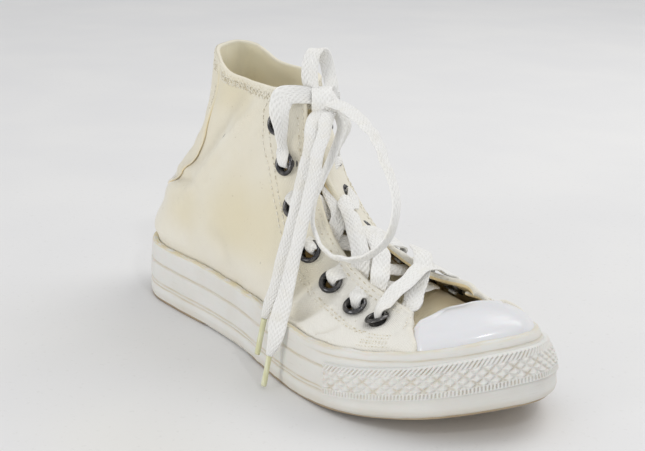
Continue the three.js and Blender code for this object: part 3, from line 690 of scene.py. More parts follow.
def tip_tube(name, ends):
    low, high = [np.array(p, float) for p in ends]
    count, turns = 30, 20
    u = np.linspace(0, 1, count)
    axis = unit(high - low)
    first = unit(np.cross(axis, (0.3, 1, 0.2)))
    second = np.cross(axis, first)
    waist = TIP_RADIUS * (1 - 0.10 * np.sin(math.pi * u) - 0.12 * step(u, 0.9, 1.0))
    waist *= np.where(u < 0.02, 0.86, 1.0)
    a = 2 * math.pi * np.arange(turns) / turns
    seam = 1 - 0.10 * bump_line(np.abs(a - 3.4), 0.35)
    radial = first[None] * (np.cos(a) * seam)[:, None] + second[None] * (np.sin(a) * seam * 0.86)[:, None]
    grid = (low + (high - low) * u[:, None])[:, None] + radial[None] * waist[:, None, None]
    points = np.vstack([grid.reshape(-1, 3), low[None] + axis * 0.3, high[None] - axis * 0.2])
    faces = grid_faces(count, turns, close_cols=True)
    n = count * turns
    for base, tip in ((0, n), (n - turns, n + 1)):
        faces += [(tip, base + k, base + (k + 1) % turns) for k in range(turns)]
    return to_mesh(name, points, faces)


END_WIDTHS = [
    [5.4, 5.6, 5.4, 5.2, 5.0, 4.8, 4.8, 4.8, 4.9, 4.4, 2.7],
    [5.4, 5.6, 5.2, 5.0, 4.8, 4.8, 4.8, 4.8, 5.0, 5.4, 6.6, 7.0, 5.6, 2.7],
]
for number, (points, ends, node) in enumerate(zip((END_ONE, END_TWO), TIPS, ("lace_end_1", "lace_end_2"))):
    tip = tip_tube(f"lace_tip_{number + 1}", ends)
    dress(tip, "aglet_plastic", TIP, f"aglet_{number + 1}")
    across = [(0.75, 0.62, 0.1)] * len(points)
    piece, middle, _ = lace(f"{node}_ribbon", points, across, END_WIDTHS[number], seed=51 + 10 * number)
    cord_of(piece, [node])

# %% [markdown]
# ## Folds in the cloth
# A worn shoe folds where the foot bends. The main folds are listed, each as a short line on the
# last with a depth and a width in millimetres: a broad trough where the toes flex, a sharper one below it,
# a ridge running down the quarter with a hollow beside it, the slump behind the ankle, and a bulge over the
# tape at the heel. Each fades out towards its ends. A mask of the troughs is kept, and the canvas is painted
# darker there, partly dirt and partly painted shade. Between the folds the cloth is wavy, and where the
# rubber holds it, it lies still.

# %% The folds, listed
# each fold: points (s, t), how far it pushes the cloth out in mm, and half its width in mm
FOLDS = [
    ([(7.0, 2.0), (6.75, 2.5), (6.6, 3.1), (6.5, 3.84), (6.45, 4.4), (6.4, 4.9)], -3.0, 4.2),
    ([(6.3, 1.05), (6.05, 1.5), (5.85, 2.32), (5.75, 3.36), (5.8, 4.2)], -2.1, 2.4),
    ([(6.5, 1.2), (6.25, 2.1), (6.15, 3.1), (6.1, 4.0)], 1.2, 3.0),
    ([(5.6, 1.3), (5.35, 2.4), (5.25, 3.4)], 0.8, 3.2),
    ([(5.0, 1.1), (4.8, 1.9), (4.6, 2.6)], -0.9, 2.0),
    ([(10.5, 4.95), (10.9, 4.62), (11.35, 3.76), (11.95, 3.14), (12.7, 2.58), (13.7, 1.9)], 2.3, 3.2),
    ([(11.7, 4.8), (12.2, 3.95), (12.75, 3.4), (13.4, 2.95), (14.4, 2.65)], -2.6, 5.2),
    ([(15.2, 2.35), (14.5, 2.44), (13.7, 2.52), (12.8, 2.52)], -1.9, 2.2),
    ([(15.0, 2.15), (14.2, 2.2), (13.4, 2.25)], 1.1, 3.2),
    ([(17.2, 2.22), (16.4, 2.24), (15.6, 2.24), (14.8, 2.2)], 1.7, 5.5),
    ([(17.4, 3.4), (16.5, 3.5), (15.6, 3.5), (14.6, 3.4)], -2.6, 9.0),
    ([(19.3, 1.35), (17.3, 1.35), (16, 1.35), (14.7, 1.35), (12.5, 1.35)], 2.6, 6.0),
    ([(9.6, 1.4), (10.4, 1.8), (11.5, 1.9)], -0.5, 6.0),
    ([(24.9, 1.4), (25.3, 2.4), (25.5, 3.2), (25.6, 4.4)], -2.4, 4.2),
    ([(25.9, 1.1), (26.2, 2.0), (26.3, 3.2), (26.2, 4.0)], -1.8, 2.4),
    ([(25.5, 1.3), (25.8, 2.4), (25.9, 3.6)], 0.9, 2.8),
    ([(21.6, 4.7), (21.3, 3.9), (20.9, 3.3), (20.4, 2.8), (19.6, 2.5)], 1.2, 3.6),
    ([(20.4, 4.3), (20.2, 3.7), (19.6, 3.1)], -1.4, 4.5),
    ([(16.8, 2.3), (17.6, 2.45), (18.6, 2.5), (19.4, 2.4)], -1.6, 2.4),
    ([(22.6, 3.2), (22.2, 2.7), (21.6, 2.3)], -0.9, 4.0),
]


def folds_at(points):
    """how far the folds push each point out, and how much the troughs darken it with dirt and painted shade
    """
    push = np.zeros(len(points))
    dirt = np.zeros(len(points))
    for line, height, width in FOLDS:
        st = line_through(line, np.linspace(0, 1, 36))
        trace = last_at(st[:, 0], st[:, 1])
        apart = np.linalg.norm(points[:, None] - trace[None], axis=2)
        near = apart.argmin(1)
        far = apart.min(1)
        fade = np.sin(math.pi * (near + 0.5) / 36) ** 0.7
        push += height * fade * bump_line(far, width)
        if height < 0:
            push -= 0.3 * height * fade * bump_line(far - 2.0 * width, width * 0.9)
            # the trough mask: the canvas is darkened here, partly dirt and partly painted shade
            dirt += fade * bump_line(far, 0.5 * width) * min(1.0, -height)
    return push, np.clip(dirt, 0, 1)


WAVES_OUTER = 3  # the seeds of the waves in the outer and the inner quarter
WAVES_INNER = 13
WAVE = 0.35


def wavy(face, t, seed, size=WAVE):
    """the slow waves of loose cloth, still where the rubber holds it"""
    return size * step(t, 0.9, 1.6) * (waves(face, 26.0, seed) + 0.5 * waves(face, 11.0, seed + 1))


def settled(t):
    """0 to 1: how far a fold can push the cloth just above the tape"""
    return step(t, 0.95, 1.3)


print(len(FOLDS), "folds")

# %% [markdown]
# ## Panels of canvas
# The upper is sewn from panels: an outer and an inner quarter, whose front edges lie over the toe canvas,
# and a strip up the heel. Each is a double sheet, canvas outside and lining inside, that closes to a
# rounded edge wherever the cloth is folded over. The holes for the eyelets are cut as circles and their
# walls closed, so each panel is one solid with a real thickness.

# %% Where the eyelets sit
# each eyelet: s, t and its size beside a full one
EYELETS = {f"eyelet_outer_{k + 1}": (4 + k, 4.0, 1.0) for k in range(7)}
EYELETS.update({f"eyelet_inner_{k + 1}": (28 - k, 4.0, 1.0) for k in range(7)})
EYELETS.update({"vent_eyelet_1": (22.4, 2.05, 0.62), "vent_eyelet_2": (23.8, 2.0, 0.62)})
PUNCH = 3.3  # radius of a punched hole


def panel(name, s_lines, t_lines, thick, free, low_lift=0.0, wave=WAVE, hem=0.3, seed=3, folded=True,
          raised=0.0):
    """a double sheet over the last; s_lines is rows x cols, free names the edges that are folded over"""
    rows, cols = s_lines.shape
    s, t = s_lines.ravel(), t_lines.ravel()
    face = last_at(s, t)
    normal = last_normal(s, t)
    shape = face.reshape(rows, cols, 3)
    edges = {"top": shape[-1:, :], "front": shape[:, :1], "back": shape[:, -1:]}
    far = np.full((rows, cols), 99.0)
    for edge in free:
        far = np.minimum(far, np.linalg.norm(shape - edges[edge], axis=2))
    far = far.ravel()
    half = thick / 2
    full = np.sqrt(np.clip(1 - (1 - np.clip(far / half, 0, 1)) ** 2, 0, 1))
    push, dirt = folds_at(face) if folded else (np.zeros(len(face)), np.zeros(len(face)))
    push = push * settled(t) + wavy(face, t, seed, wave) + raised
    puffed = hem * bump_line(far - 1.3, 1.0) - 0.5 * hem * bump_line(far - 3.1, 0.5)
    points = face.copy()
    kept = np.ones((rows - 1, cols - 1), bool)
    for es, et, scale in EYELETS.values():
        centre = last_at(es, et)
        axis = last_normal(es, et)
        offset = points - centre
        flat = offset - axis * (offset @ axis.T)
        reach = np.linalg.norm(flat, axis=1)
        hole = PUNCH * scale
        inside = (reach < hole) & (np.abs(offset @ axis.T)[:, 0] < 6)
        if not inside.any():
            continue
        grid = inside.reshape(rows, cols)
        cell = grid[:-1, :-1] & grid[1:, :-1] & grid[:-1, 1:] & grid[1:, 1:]
        kept &= ~cell
        points += np.where(inside, (hole - reach) / np.maximum(reach, 0.3), 0)[:, None] * flat
    outer = points + normal * (low_lift - half + half * full + puffed + push)[:, None]
    inner = points + normal * (low_lift - half - half * full + 0.8 * push)[:, None]
    n = rows * cols
    index = np.arange(n).reshape(rows, cols)
    corner = [index[:-1, :-1], index[:-1, 1:], index[1:, 1:], index[1:, :-1]]
    quads = np.stack([x[kept] for x in corner], 1)
    faces = quads.tolist() + (quads[:, ::-1] + n).tolist()
    padded = np.pad(kept, 1)
    r, c = np.nonzero(kept)
    ways = [(-1, 0, 0, 1), (0, 1, 1, 2), (1, 0, 2, 3), (0, -1, 3, 0)]
    for dr, dc, first, last in ways:
        bare = ~padded[r + 1 + dr, c + 1 + dc]
        a = corner[first][kept][bare]
        b = corner[last][kept][bare]
        faces += np.stack([b, a, a + n, b + n], 1).tolist()
    climb = np.cumsum(np.linalg.norm(np.diff(shape, axis=0, prepend=shape[:1]), axis=2), axis=0)
    walk = np.cumsum(np.linalg.norm(np.diff(shape, axis=1, prepend=shape[:, :1]), axis=2), axis=1)
    walk = np.broadcast_to(walk[rows // 2][None], (rows, cols))
    cloth = np.stack([walk.ravel(), climb.ravel(), np.zeros(n)], 1)
    lining = cloth + (0, 0, 1)
    collar = step(t, 4.5, 4.9) * step(s, 10.0, 10.6) * step(-s, -21.9, -21.4)
    return to_mesh(
        name, np.vstack([outer, inner]), faces, weld=0.004,
        cloth=np.vstack([cloth, lining]), dirt=np.tile(dirt, 2), edge=np.tile(bump_line(far, 1.7), 2),
        rim=np.tile(bump_line(far, 1.1) * collar, 2),
    )


# %% [markdown]
# The canvas is a plain weave, yellowed with age: deepest in the middle of the quarters, paler near the
# rubber and almost white over the toes. Stains are placed as soft eggs in the shoe's own millimetres, and
# the fold troughs are darkened with dirt and painted shade. Inside, the same cloth is tan, painted lighter
# than outside to stand in for light, and browner deeper down as painted shade.

# %% Canvas finish
THREAD_PITCH = 0.85  # mm between threads


def woven(finish, pitch):
    """height of a plain weave, from the place on the cloth"""
    across, upward, inside = finish.parts(finish.stored("cloth", vector=True))
    turn = 2 * math.pi / pitch
    crossing = (across * turn).sine() * (upward * turn).sine()
    return crossing, inside


def aged_canvas(name):
    finish = Finish(name, Roughness=0.9, Sheen_Weight=0.12, Sheen_Roughness=0.6)
    weave, inside = woven(finish, THREAD_PITCH)
    place = finish.place()
    x, _, z = finish.parts(place)
    blotch = finish.noise(place, 28.0, 3.0)
    fine = finish.noise(place, 160.0, 4.0)
    cream = finish.mix(blotch.between(0.35, 0.65), (0.845, 0.81, 0.70), (0.82, 0.77, 0.635))
    stains = [
        ((82, -26, 50), (38, 30, 24), 0.95), ((104, -24, 52), (18, 26, 28), 0.6),
        ((62, -22, 96), (34, 24, 14), 0.7), ((42, -20, 44), (20, 22, 16), 0.6),
        ((120, -24, 42), (14, 20, 14), 0.35), ((80, 24, 52), (36, 28, 26), 0.9),
        ((62, 20, 94), (30, 22, 14), 0.7), ((30, 2, 80), (16, 16, 22), 0.5),
    ]
    for centre, reach, amount in stains:
        patch = finish.spot(centre, reach, 0.15) * (0.75 + blotch * 0.5) * amount
        cream = finish.mix(patch.held(), cream, (0.79, 0.72, 0.525))
    pale = (1 - (z * 1000.0).between(27.0, 42.0)) * (0.5 + fine * 0.6)
    cream = finish.mix((pale * 0.7).held(), cream, (0.85, 0.82, 0.74))
    toes = (x * 1000.0 + 108.0).between(122.0, 146.0)
    cream = finish.mix(toes * 0.9, cream, (0.852, 0.836, 0.784))
    heel = finish.spot((8, -10, 44), (18, 24, 26), 0.2)
    cream = finish.mix(heel * 0.85, cream, (0.865, 0.85, 0.805))
    # painted shade and dirt: the fold troughs turn darker and browner
    darkening = finish.stored("dirt") * (0.45 + fine * 0.8)
    cream = finish.mix((darkening * 0.32).held(), cream, (0.50, 0.45, 0.34))
    ridge = finish.stored("edge") * (1 - toes * 0.3)
    cream = finish.mix((ridge * (0.2 + fine * 0.7)).held() * 0.5, cream, (0.80, 0.72, 0.50))
    cream = finish.mix(finish.stored("rim").between(0.25, 0.7) * 0.35, cream, (0.86, 0.83, 0.74))
    flecks = finish.noise(place, 620.0, 1.0).between(0.70, 0.78) * fine.between(0.45, 0.6)
    cream = finish.mix(flecks * 0.35, cream, (0.45, 0.37, 0.24))
    dark_nicks = ((67.9, -19.3, 80.4), (103, -23, 38))
    for centre in dark_nicks:
        cream = finish.mix(finish.spot(centre, (1.0, 6.0, 1.1), 0.5) * 0.9, cream, (0.10, 0.09, 0.08))
    # the lining: painted lighter than the outer canvas to stand in for light inside the shoe, and browner
    # deeper down as painted shade
    deep = (z * 1000.0).between(105.0, 55.0)
    lining = finish.mix(deep, (0.95, 0.90, 0.70), (0.88, 0.72, 0.42))
    lining = finish.mix(blotch.between(0.3, 0.7) * 0.25, lining, (0.80, 0.66, 0.40))
    cream = finish.mix(inside.between(0.4, 0.6) * (1 - finish.stored("rim")), cream, lining)
    cream = finish.mix(weave.between(-0.2, -0.9) * 0.16, cream, (0.62, 0.55, 0.40))
    cloth_height = weave * 0.6 + fine * 0.5
    soft = finish.relief(blotch, 0.0015, 0.25)
    return finish.wear(Base_Color=cream, Normal=finish.relief(cloth_height, 0.00016, 0.7, soft))


CANVAS = aged_canvas("aged_canvas")

# %% The two quarters and the toe canvas
ROWS_LOW = [0.0, 0.5, 0.85]
ROWS_TOP = [4.9, 4.94, 4.965, 4.982, 4.993, 4.998, 5.0]
SHORT_STEPS = np.array([0, 0.002, 0.008, 0.02, 0.04, 0.07])
QUARTER_SPAN = 13.8  # sections from a quarter's front edge to the heel
QUARTER_SHARE = np.concatenate([SHORT_STEPS / QUARTER_SPAN, np.linspace(0.008, 1, 226)])
OVER_CAP = 1.7  # how far a quarter's front corner is lifted by the end of the toe cap under it
CURL = 2.4  # how far the loose inner flap curls up at its edge
CAP_HALF = 2.15  # sections from the middle of the toe cap to where its crest dips


def t_rows(count):
    return np.concatenate([ROWS_LOW, np.linspace(0.95, 4.86, count), ROWS_TOP])


def front_of_quarter(t):
    """the outer quarter's front edge leans back a little as it climbs"""
    return 2.05 + 0.8 * np.clip((t - 1) / 4, 0, 1) ** 2.5


def front_of_inner(t):
    """the inner quarter's front edge"""
    return 29.9 - 0.35 * np.clip((t - 1) / 4, 0, 1) ** 2


def quarter(name, front_at, seed, curl):
    """a quarter from its front edge to the heel"""
    t = t_rows(118)[:, None]
    front = front_at(t)
    s = front + (HEEL - front) * QUARTER_SHARE[None]
    t = np.broadcast_to(t, s.shape)
    over_cap = OVER_CAP * step(-np.abs(s - front), -0.62, -0.12) * step(-t, -3.6, -2.6)
    curled = curl * step(t, 3.75, 4.85) * step(s, 22.6, 23.8)
    raised = np.maximum(over_cap, curled).ravel()
    return panel(name, s, t, WALL, ("top", "front"), seed=seed, raised=raised)


def cap_crest(s):
    """how high the rear edge of the toe cap comes at s"""
    return 4.9 - 1.75 * np.minimum(np.abs(s - STATIONS) / CAP_HALF, 1.05) ** 1.9


def toe_canvas():
    s = np.linspace(28.9, 35.1, 120)
    beside = np.clip((np.abs(s - STATIONS) - 2.2) / 0.8, 0, 1)
    top = cap_crest(s) - 0.12 + (5 - cap_crest(s)) * beside ** 1.5
    t = t_rows(44)[:, None] * top[None] / 5
    s = np.broadcast_to(s[None], t.shape)
    return panel("toe_canvas", s, t, 1.3, ("top",), low_lift=-0.55, wave=0.2, hem=0.1, seed=23)


dress(quarter("quarter_outer", front_of_quarter, WAVES_OUTER, 0.0), "canvas", CANVAS, "upper")
dress(quarter("quarter_inner", front_of_inner, WAVES_INNER, CURL), "canvas", CANVAS, "upper")
dress(toe_canvas(), "canvas", CANVAS, "upper")

# %% [markdown]
# A strip of the same canvas covers the seam up the heel. Where the ankle has slumped, its edge has come
# unglued and stands a little proud, which draws a dark line down the back of the quarter.

# %% The strip up the heel
STRIP_EDGE = [(0.96, 15.45), (1.6, 15.4), (2.1, 15.2), (2.35, 14.8), (2.55, 14.3), (2.9, 13.8), (3.3, 13.5),
              (3.8, 13.45), (4.4, 13.55), (5.0, 13.6)]


def far_side(s):
    """where the strip's inner edge lies, for its outer edge at s"""
    return HEEL + (HEEL - s) * 0.85


def heel_strip():
    t = np.concatenate([np.linspace(0.96, 4.9, 110), [4.94, 4.97, 4.985, 4.995]])
    edge = np.interp(t, [p[0] for p in STRIP_EDGE], [p[1] for p in STRIP_EDGE])[:, None]
    share = np.concatenate([SHORT_STEPS / 4, np.linspace(0.024, 0.976, 70), 1 - SHORT_STEPS[::-1] / 4])
    s = edge + (far_side(edge) - edge) * share[None]
    rows = np.broadcast_to(t[:, None], s.shape)
    free = ("top", "front", "back")
    unglued = step(t, 2.0, 2.5) * step(-t, -4.1, -3.5)
    sunk = np.broadcast_to((-0.78 * (1 - unglued))[:, None], s.shape).ravel()
    return panel("heel_strip", s, rows, 1.0, free, low_lift=1.15, hem=0.15, seed=3, raised=sunk)


dress(heel_strip(), "canvas", CANVAS, "upper")

# %% [markdown]
# ## Stitches
# Every seam on the shoe is sewn with a thick cotton thread. One stitch is a short grain of thread lying on
# the cloth, so a row of them along a line on the last reads as sewing from any side. All of them are
# joined in one mesh. A row may zigzag, as the tape round the collar does.

# %% Rows of stitches
STITCH = 1.9
STITCH_STEP = 2.5
STITCH_THICK = 0.26
stitch_points = []
stitch_faces = []


def grain(centre, way, up, long, thick):
    """one stitch: a grain with six sides and pointed ends"""
    aside = unit(np.cross(way, up))
    base = len(stitch_points)
    for share, fat in ((-0.36, 0.8), (0.0, 1.0), (0.36, 0.8)):
        for k in range(6):
            a = k * math.pi / 3
            turn = aside * math.cos(a) + up * math.sin(a)
            stitch_points.append(centre + way * share * long + turn * fat * thick)
    stitch_points.append(centre - way * long / 2 - up * thick)
    stitch_points.append(centre + way * long / 2 - up * thick)
    for r in (0, 6):
        for k in range(6):
            k2 = (k + 1) % 6
            stitch_faces.append((base + r + k, base + r + k2, base + r + k2 + 6, base + r + k + 6))
    for k in range(6):
        k2 = (k + 1) % 6
        stitch_faces.append((base + 18, base + k2, base + k))
        stitch_faces.append((base + 19, base + 12 + k, base + 12 + k2))


def stitches(line, lift=0.12, swing=0.0, gap=STITCH_STEP, long=STITCH):
    """stitches along points (s, t) on the cloth; swing makes them zigzag by that many mm"""
    st = line_through(line, np.linspace(0, 1, 300))
    trace = last_at(st[:, 0], st[:, 1])
    reach = np.concatenate([[0], np.cumsum(np.linalg.norm(np.diff(trace, axis=0), axis=1))])
    count = int(reach[-1] / gap)
    at = (np.arange(count) + 0.5) * gap
    s = np.interp(at, reach, st[:, 0])
    t = np.interp(at, reach, st[:, 1])
    face = last_at(s, t)
    up = last_normal(s, t)
    push, _ = folds_at(face)
    rise = push * settled(t) + wavy(face, t, WAVES_OUTER if s.mean() < HEEL else WAVES_INNER)
    centre = face + up * (rise + lift)[:, None]
    way = unit(np.gradient(centre, axis=0))
    aside = np.cross(way, up)
    for k in range(count):
        turn = way[k]
        spot = centre[k]
        if swing:
            sign = 1 if k % 2 else -1
            turn = unit(way[k] + sign * 0.9 * aside[k])
            spot = centre[k] + aside[k] * swing * 0.1 * sign
        grain(spot, turn, up[k], long, STITCH_THICK)


eyestay_outer = [(10.75, 4.62), (10.72, 4.14), (10.2, 3.6), (9.6, 3.5), (8.95, 3.45), (8.25, 3.42),
                 (7.3, 3.25), (6.4, 3.1), (5.4, 2.95), (4.4, 2.75), (3.6, 2.7)]
for offset in (0.0, 0.2):
    stitches([(s - offset * 0.6, t + offset * 0.8) for s, t in eyestay_outer])
    stitches([(32 - s + offset * 0.6, t + offset * 0.8) for s, t in eyestay_outer])
COLLAR_ROWS = [((10.2, 13.4, 9), 0.12), ((18.4, 21.8, 9), 0.12), ((13.7, 18.1, 12), 0.5)]
for low in (4.9, 4.8, 4.7, 4.61):
    for span, lift in COLLAR_ROWS:
        stitches([(s, low) for s in np.linspace(*span)], lift=lift, swing=1.6, gap=1.25, long=1.6)
for edge_gap in (0.17, 0.36):
    stitches([(s, 5 - edge_gap) for s in np.linspace(3.4, 9.8, 14)])
    stitches([(s, 5 - edge_gap) for s in np.linspace(28.8, 22.2, 14)])
for back in (0.16, 0.3):
    front_line = [(front_of_quarter(t) + back, t) for t in np.linspace(1.1, 4.7, 8)]
    stitches(front_line, gap=2.0, long=1.5)
    stitches([(front_of_inner(t) - back, t) for t in np.linspace(1.1, 4.7, 8)], gap=2.0, long=1.5)
for row in range(5):
    depth = 1.25 + row * 0.36
    stitches([(2.75, depth), (3.15, depth + 0.03), (3.55, depth + 0.05)], gap=1.25, long=0.7)
    stitches([(29.3, depth), (28.9, depth + 0.03), (28.4, depth + 0.05)], gap=1.25, long=0.7)
stitches([(s + 0.14, t) for t, s in STRIP_EDGE[3:-1]], lift=1.0)
stitches([(far_side(s) - 0.14, t) for t, s in STRIP_EDGE[3:-1]], lift=1.0)

thread_finish = Finish("cotton_thread", Roughness=0.8)
thread_wear = thread_finish.noise(thread_finish.place(), 800.0).between(0.46, 0.62)
thread_tone = thread_finish.mix(thread_wear, (0.86, 0.83, 0.74), (0.62, 0.56, 0.42))
THREAD = thread_finish.wear(Base_Color=thread_tone)
dress(to_mesh("stitching", stitch_points, stitch_faces), "canvas", THREAD)

# %% [markdown]
# ## Rubber round the foot
# A tape of white rubber, the foxing, is glued round the shoe. Two fine grooves run along it, the lower one
# doubled, and years of walking have filled them with yellow-brown dust. At the front a third groove runs
# under the top edge, and a thicker cushion takes the place of the low ones behind the toe strip. The tape is
# swept round the outline with a butt joint on the inside. At the heel it leans in with the slumped cloth.

# %% The foxing tape
TAPE_FROM = 0.83  # where its ends meet, as a share of the way round the outline
TAPE_COLS = 900
TAPE_HIGH_GROOVE = 0.665
TAPE_LOW_GROOVES = (0.27, 0.33)
TAPE_LIP_GROOVE = 0.875
TAPE_BOTTOM = 0.025
CUSHION = 1.25  # how far the tape stands out behind the toe strip, in mm
SLUMP = 2.0  # how far it leans in at the heel, in mm


def tape_lift(h):
    """how far the rubber stands out at the fraction h of its height, in mm"""
    lift = -0.42 * bump_line(h - TAPE_HIGH_GROOVE, 0.016)
    lift = lift + 0.28 * step(-h, -TAPE_LOW_GROOVES[0], -0.16) * step(h, 0.09, 0.16)
    lift = lift + 0.10 * bump_line(h - 0.5, 0.12)
    return lift - 0.5 * step(-h, -0.07, -TAPE_BOTTOM)


def tape():
    h_face = np.unique(np.concatenate([
        np.linspace(TAPE_BOTTOM, 0.94, 44),
        TAPE_LIP_GROOVE + np.linspace(-0.025, 0.025, 5),
        TAPE_HIGH_GROOVE + np.linspace(-0.03, 0.03, 7),
        TAPE_LOW_GROOVES[0] + np.linspace(-0.025, 0.025, 5),
        TAPE_LOW_GROOVES[1] + np.linspace(-0.025, 0.025, 5),
    ]))
    lip = [(0.08, 0.963), (0.3, 0.983), (0.7, 0.996), (1.3, 1.0), (2.2, 0.995), (SIDEWALL, 0.98)]
    inner = [(SIDEWALL, 0.75), (SIDEWALL, 0.4), (SIDEWALL, TAPE_BOTTOM)]
    profile = [(-tape_lift(h), h) for h in h_face] + lip + inner
    u = TAPE_FROM + np.linspace(0, 1, TAPE_COLS)
    rows = []
    for inset, h in profile:
        line = sole_line(inset, u, h)
        height = sole_base(line[:, 2]) + strip_height(line[:, 2]) * h
        rows.append(np.column_stack([line[:, :2], height]))
    grid = np.array(rows)
    walk = np.concatenate([[0], np.cumsum(np.linalg.norm(np.diff(grid[20], axis=0), axis=1))])
    flat = grid.reshape(-1, 3)
    middle = grid.mean(axis=(0, 1))
    out = unit((flat - middle) * (1, 1, 0))
    h_all = np.repeat([h for _, h in profile], TAPE_COLS)
    outside = np.repeat([inset < 2.5 for inset, _ in profile], TAPE_COLS)
    lump = 0.16 * waves(flat, 30.0, 71) + 0.05 * waves(flat, 6.0, 72)
    flat = flat + out * (lump * outside)[:, None]
    top = step(h_all, 0.8, 1.0)
    flat[:, 2] += top * (0.25 * waves(flat, 18.0, 73) + 0.1 * waves(flat, 5.0, 74))
    front_part = step(flat[:, 0], 138.0, 165.0)
    lip_groove = bump_line(h_all - TAPE_LIP_GROOVE, 0.017) * front_part
    flat = flat - out * (0.4 * lip_groove * outside)[:, None]
    toe_part = step(flat[:, 0], 154.0, 162.0)
    low_grooves = sum(bump_line(h_all - low, 0.014) for low in TAPE_LOW_GROOVES) * (1 - toe_part)
    cushion = toe_part * step(h_all, 0.03, 0.1) * step(-h_all, -0.45, -0.36)
    flat = flat + out * ((CUSHION * cushion - 0.34 * low_grooves) * outside)[:, None]
    slumped = SLUMP * step(-flat[:, 0], -24.0, -3.0) * step(h_all, 0.45, 1.0)
    flat = flat - out * slumped[:, None]
    nick = bump_line(np.linalg.norm(flat[:, :2] - (3.2, -12.0), axis=1), 1.6) * top
    flat[:, 2] -= 1.1 * nick
    groove = bump_line(h_all - TAPE_HIGH_GROOVE, 0.022)
    for low in TAPE_LOW_GROOVES:
        groove = np.maximum(groove, bump_line(h_all - low, 0.018) * (1 - toe_part))
    groove = np.maximum(groove, 0.8 * lip_groove)
    cloth = np.column_stack([np.tile(walk, len(profile)), h_all * 25.0, h_all * 0])
    faces = grid_faces(len(profile), TAPE_COLS, close_rows=True)
    count = len(profile)
    faces.append([r * TAPE_COLS for r in range(count)])
    faces.append([r * TAPE_COLS + TAPE_COLS - 1 for r in range(count)][::-1])
    glue = step(h_all, 0.955, 0.99) * (1 - 0.55 * front_part)
    return to_mesh("foxing_tape", flat, faces, cloth=cloth, groove=groove, glue=glue)


# %% [markdown]
# White rubber greys and yellows with age. The finish mixes a cloudy grey-white, long scuffs that run
# along the tape, dust in the grooves and a darker stain near the ground. Its gloss changes with the scuffs.

# %% Rubber finishes
def old_rubber(name, clean, dull, gloss=0.5, darkening=0.75):
    finish = Finish(name, Subsurface_Weight=0.05, Subsurface_Scale=0.004, IOR=1.5)
    place = finish.place()
    cloth = finish.stored("cloth", vector=True)
    cloudy = finish.noise(place, 34.0, 4.0)
    scuff = finish.noise(finish.stretched(cloth, 0.10, 1.6, 1.0), 1.0, 5.0, 0.62)
    fine = finish.noise(place, 480.0, 3.0)
    tone = finish.mix(cloudy.between(0.3, 0.7), clean, dull)
    marks = scuff.between(0.56, 0.74) * fine.between(0.3, 0.7)
    tone = finish.mix(marks * 0.45, tone, (0.56, 0.53, 0.47))
    low = 1 - (finish.parts(cloth)[1]).between(2.0, 5.5)
    tone = finish.mix((low * cloudy * 0.6).held(), tone, (0.62, 0.56, 0.44))
    dust = finish.stored("groove") * (0.35 + scuff.between(0.35, 0.6) * 0.65)
    tone = finish.mix((dust * darkening).held(), tone, (0.55, 0.46, 0.30))
    glue = finish.stored("glue") * scuff.between(0.38, 0.56)
    tone = finish.mix((glue * 0.75).held(), tone, (0.72, 0.62, 0.36))
    rough = gloss + marks * 0.3 + cloudy * 0.08
    height = scuff * 0.6 + fine * 0.25
    normal = finish.relief(height, 0.0003, 0.5)
    return finish.wear(Base_Color=tone, Roughness=rough.held(), Normal=normal)


TAPE = old_rubber("foxing_rubber", (0.76, 0.755, 0.73), (0.715, 0.70, 0.655))
dress(tape(), "strip_rubber", TAPE, "foxing")

# %% [markdown]
# ## The textured strip at the toe
# Over the tape at the front lies a moulded strip: slanted ribs along its top, rows of small pointed diamonds
# in the middle and fine upright ribs below. A formula in millimetres along and up the strip gives the
# height, so the mould marks are real geometry.

# %% The toe strip
STRIP_COLS = 1180
STRIP_ROWS = 60
STRIP_FROM = 158.0
STRIP_RELIEF = 1.15
STRIP_HIGH = 14.5  # the height of the pattern in mm
DIAMOND_LONG = 4.4
DIAMOND_HIGH = 4.2


def saw(x):
    """0 to 1 to 0, once for each unit of x"""
    return 1 - np.abs((x % 1.0) * 2 - 1)


def mould(a, b):
    """height 0..1 of the pattern at a mm along and b (0..1) up"""
    up_mm = b * STRIP_HIGH
    slanted = np.clip(saw((a - 0.75 * up_mm) / 1.75) * 2.2 - 0.3, 0, 1)
    first = saw(a / DIAMOND_LONG + up_mm / DIAMOND_HIGH)
    second = saw(a / DIAMOND_LONG - up_mm / DIAMOND_HIGH)
    diamonds = np.clip(np.minimum(first, second) * 1.35 - 0.06, 0, 1)
    upright = np.clip(saw(a / 1.25) * 2.0 - 0.3, 0, 1)
    top = step(b, 0.755, 0.775)
    low = 1 - step(b, 0.185, 0.205)
    flat_band = bump_line(b - 0.765, 0.014) + bump_line(b - 0.195, 0.014)
    height = diamonds * (1 - top) * (1 - low) + slanted * 0.7 * top + upright * 0.55 * low
    height = height * (1 - np.clip(flat_band, 0, 1)) + 0.55 * np.clip(flat_band, 0, 1)
    rim = step(b, 0.955, 0.975) + 1 - step(b, 0.03, 0.05)
    return np.clip(height * (1 - rim) + 0.75 * rim, 0, 1)


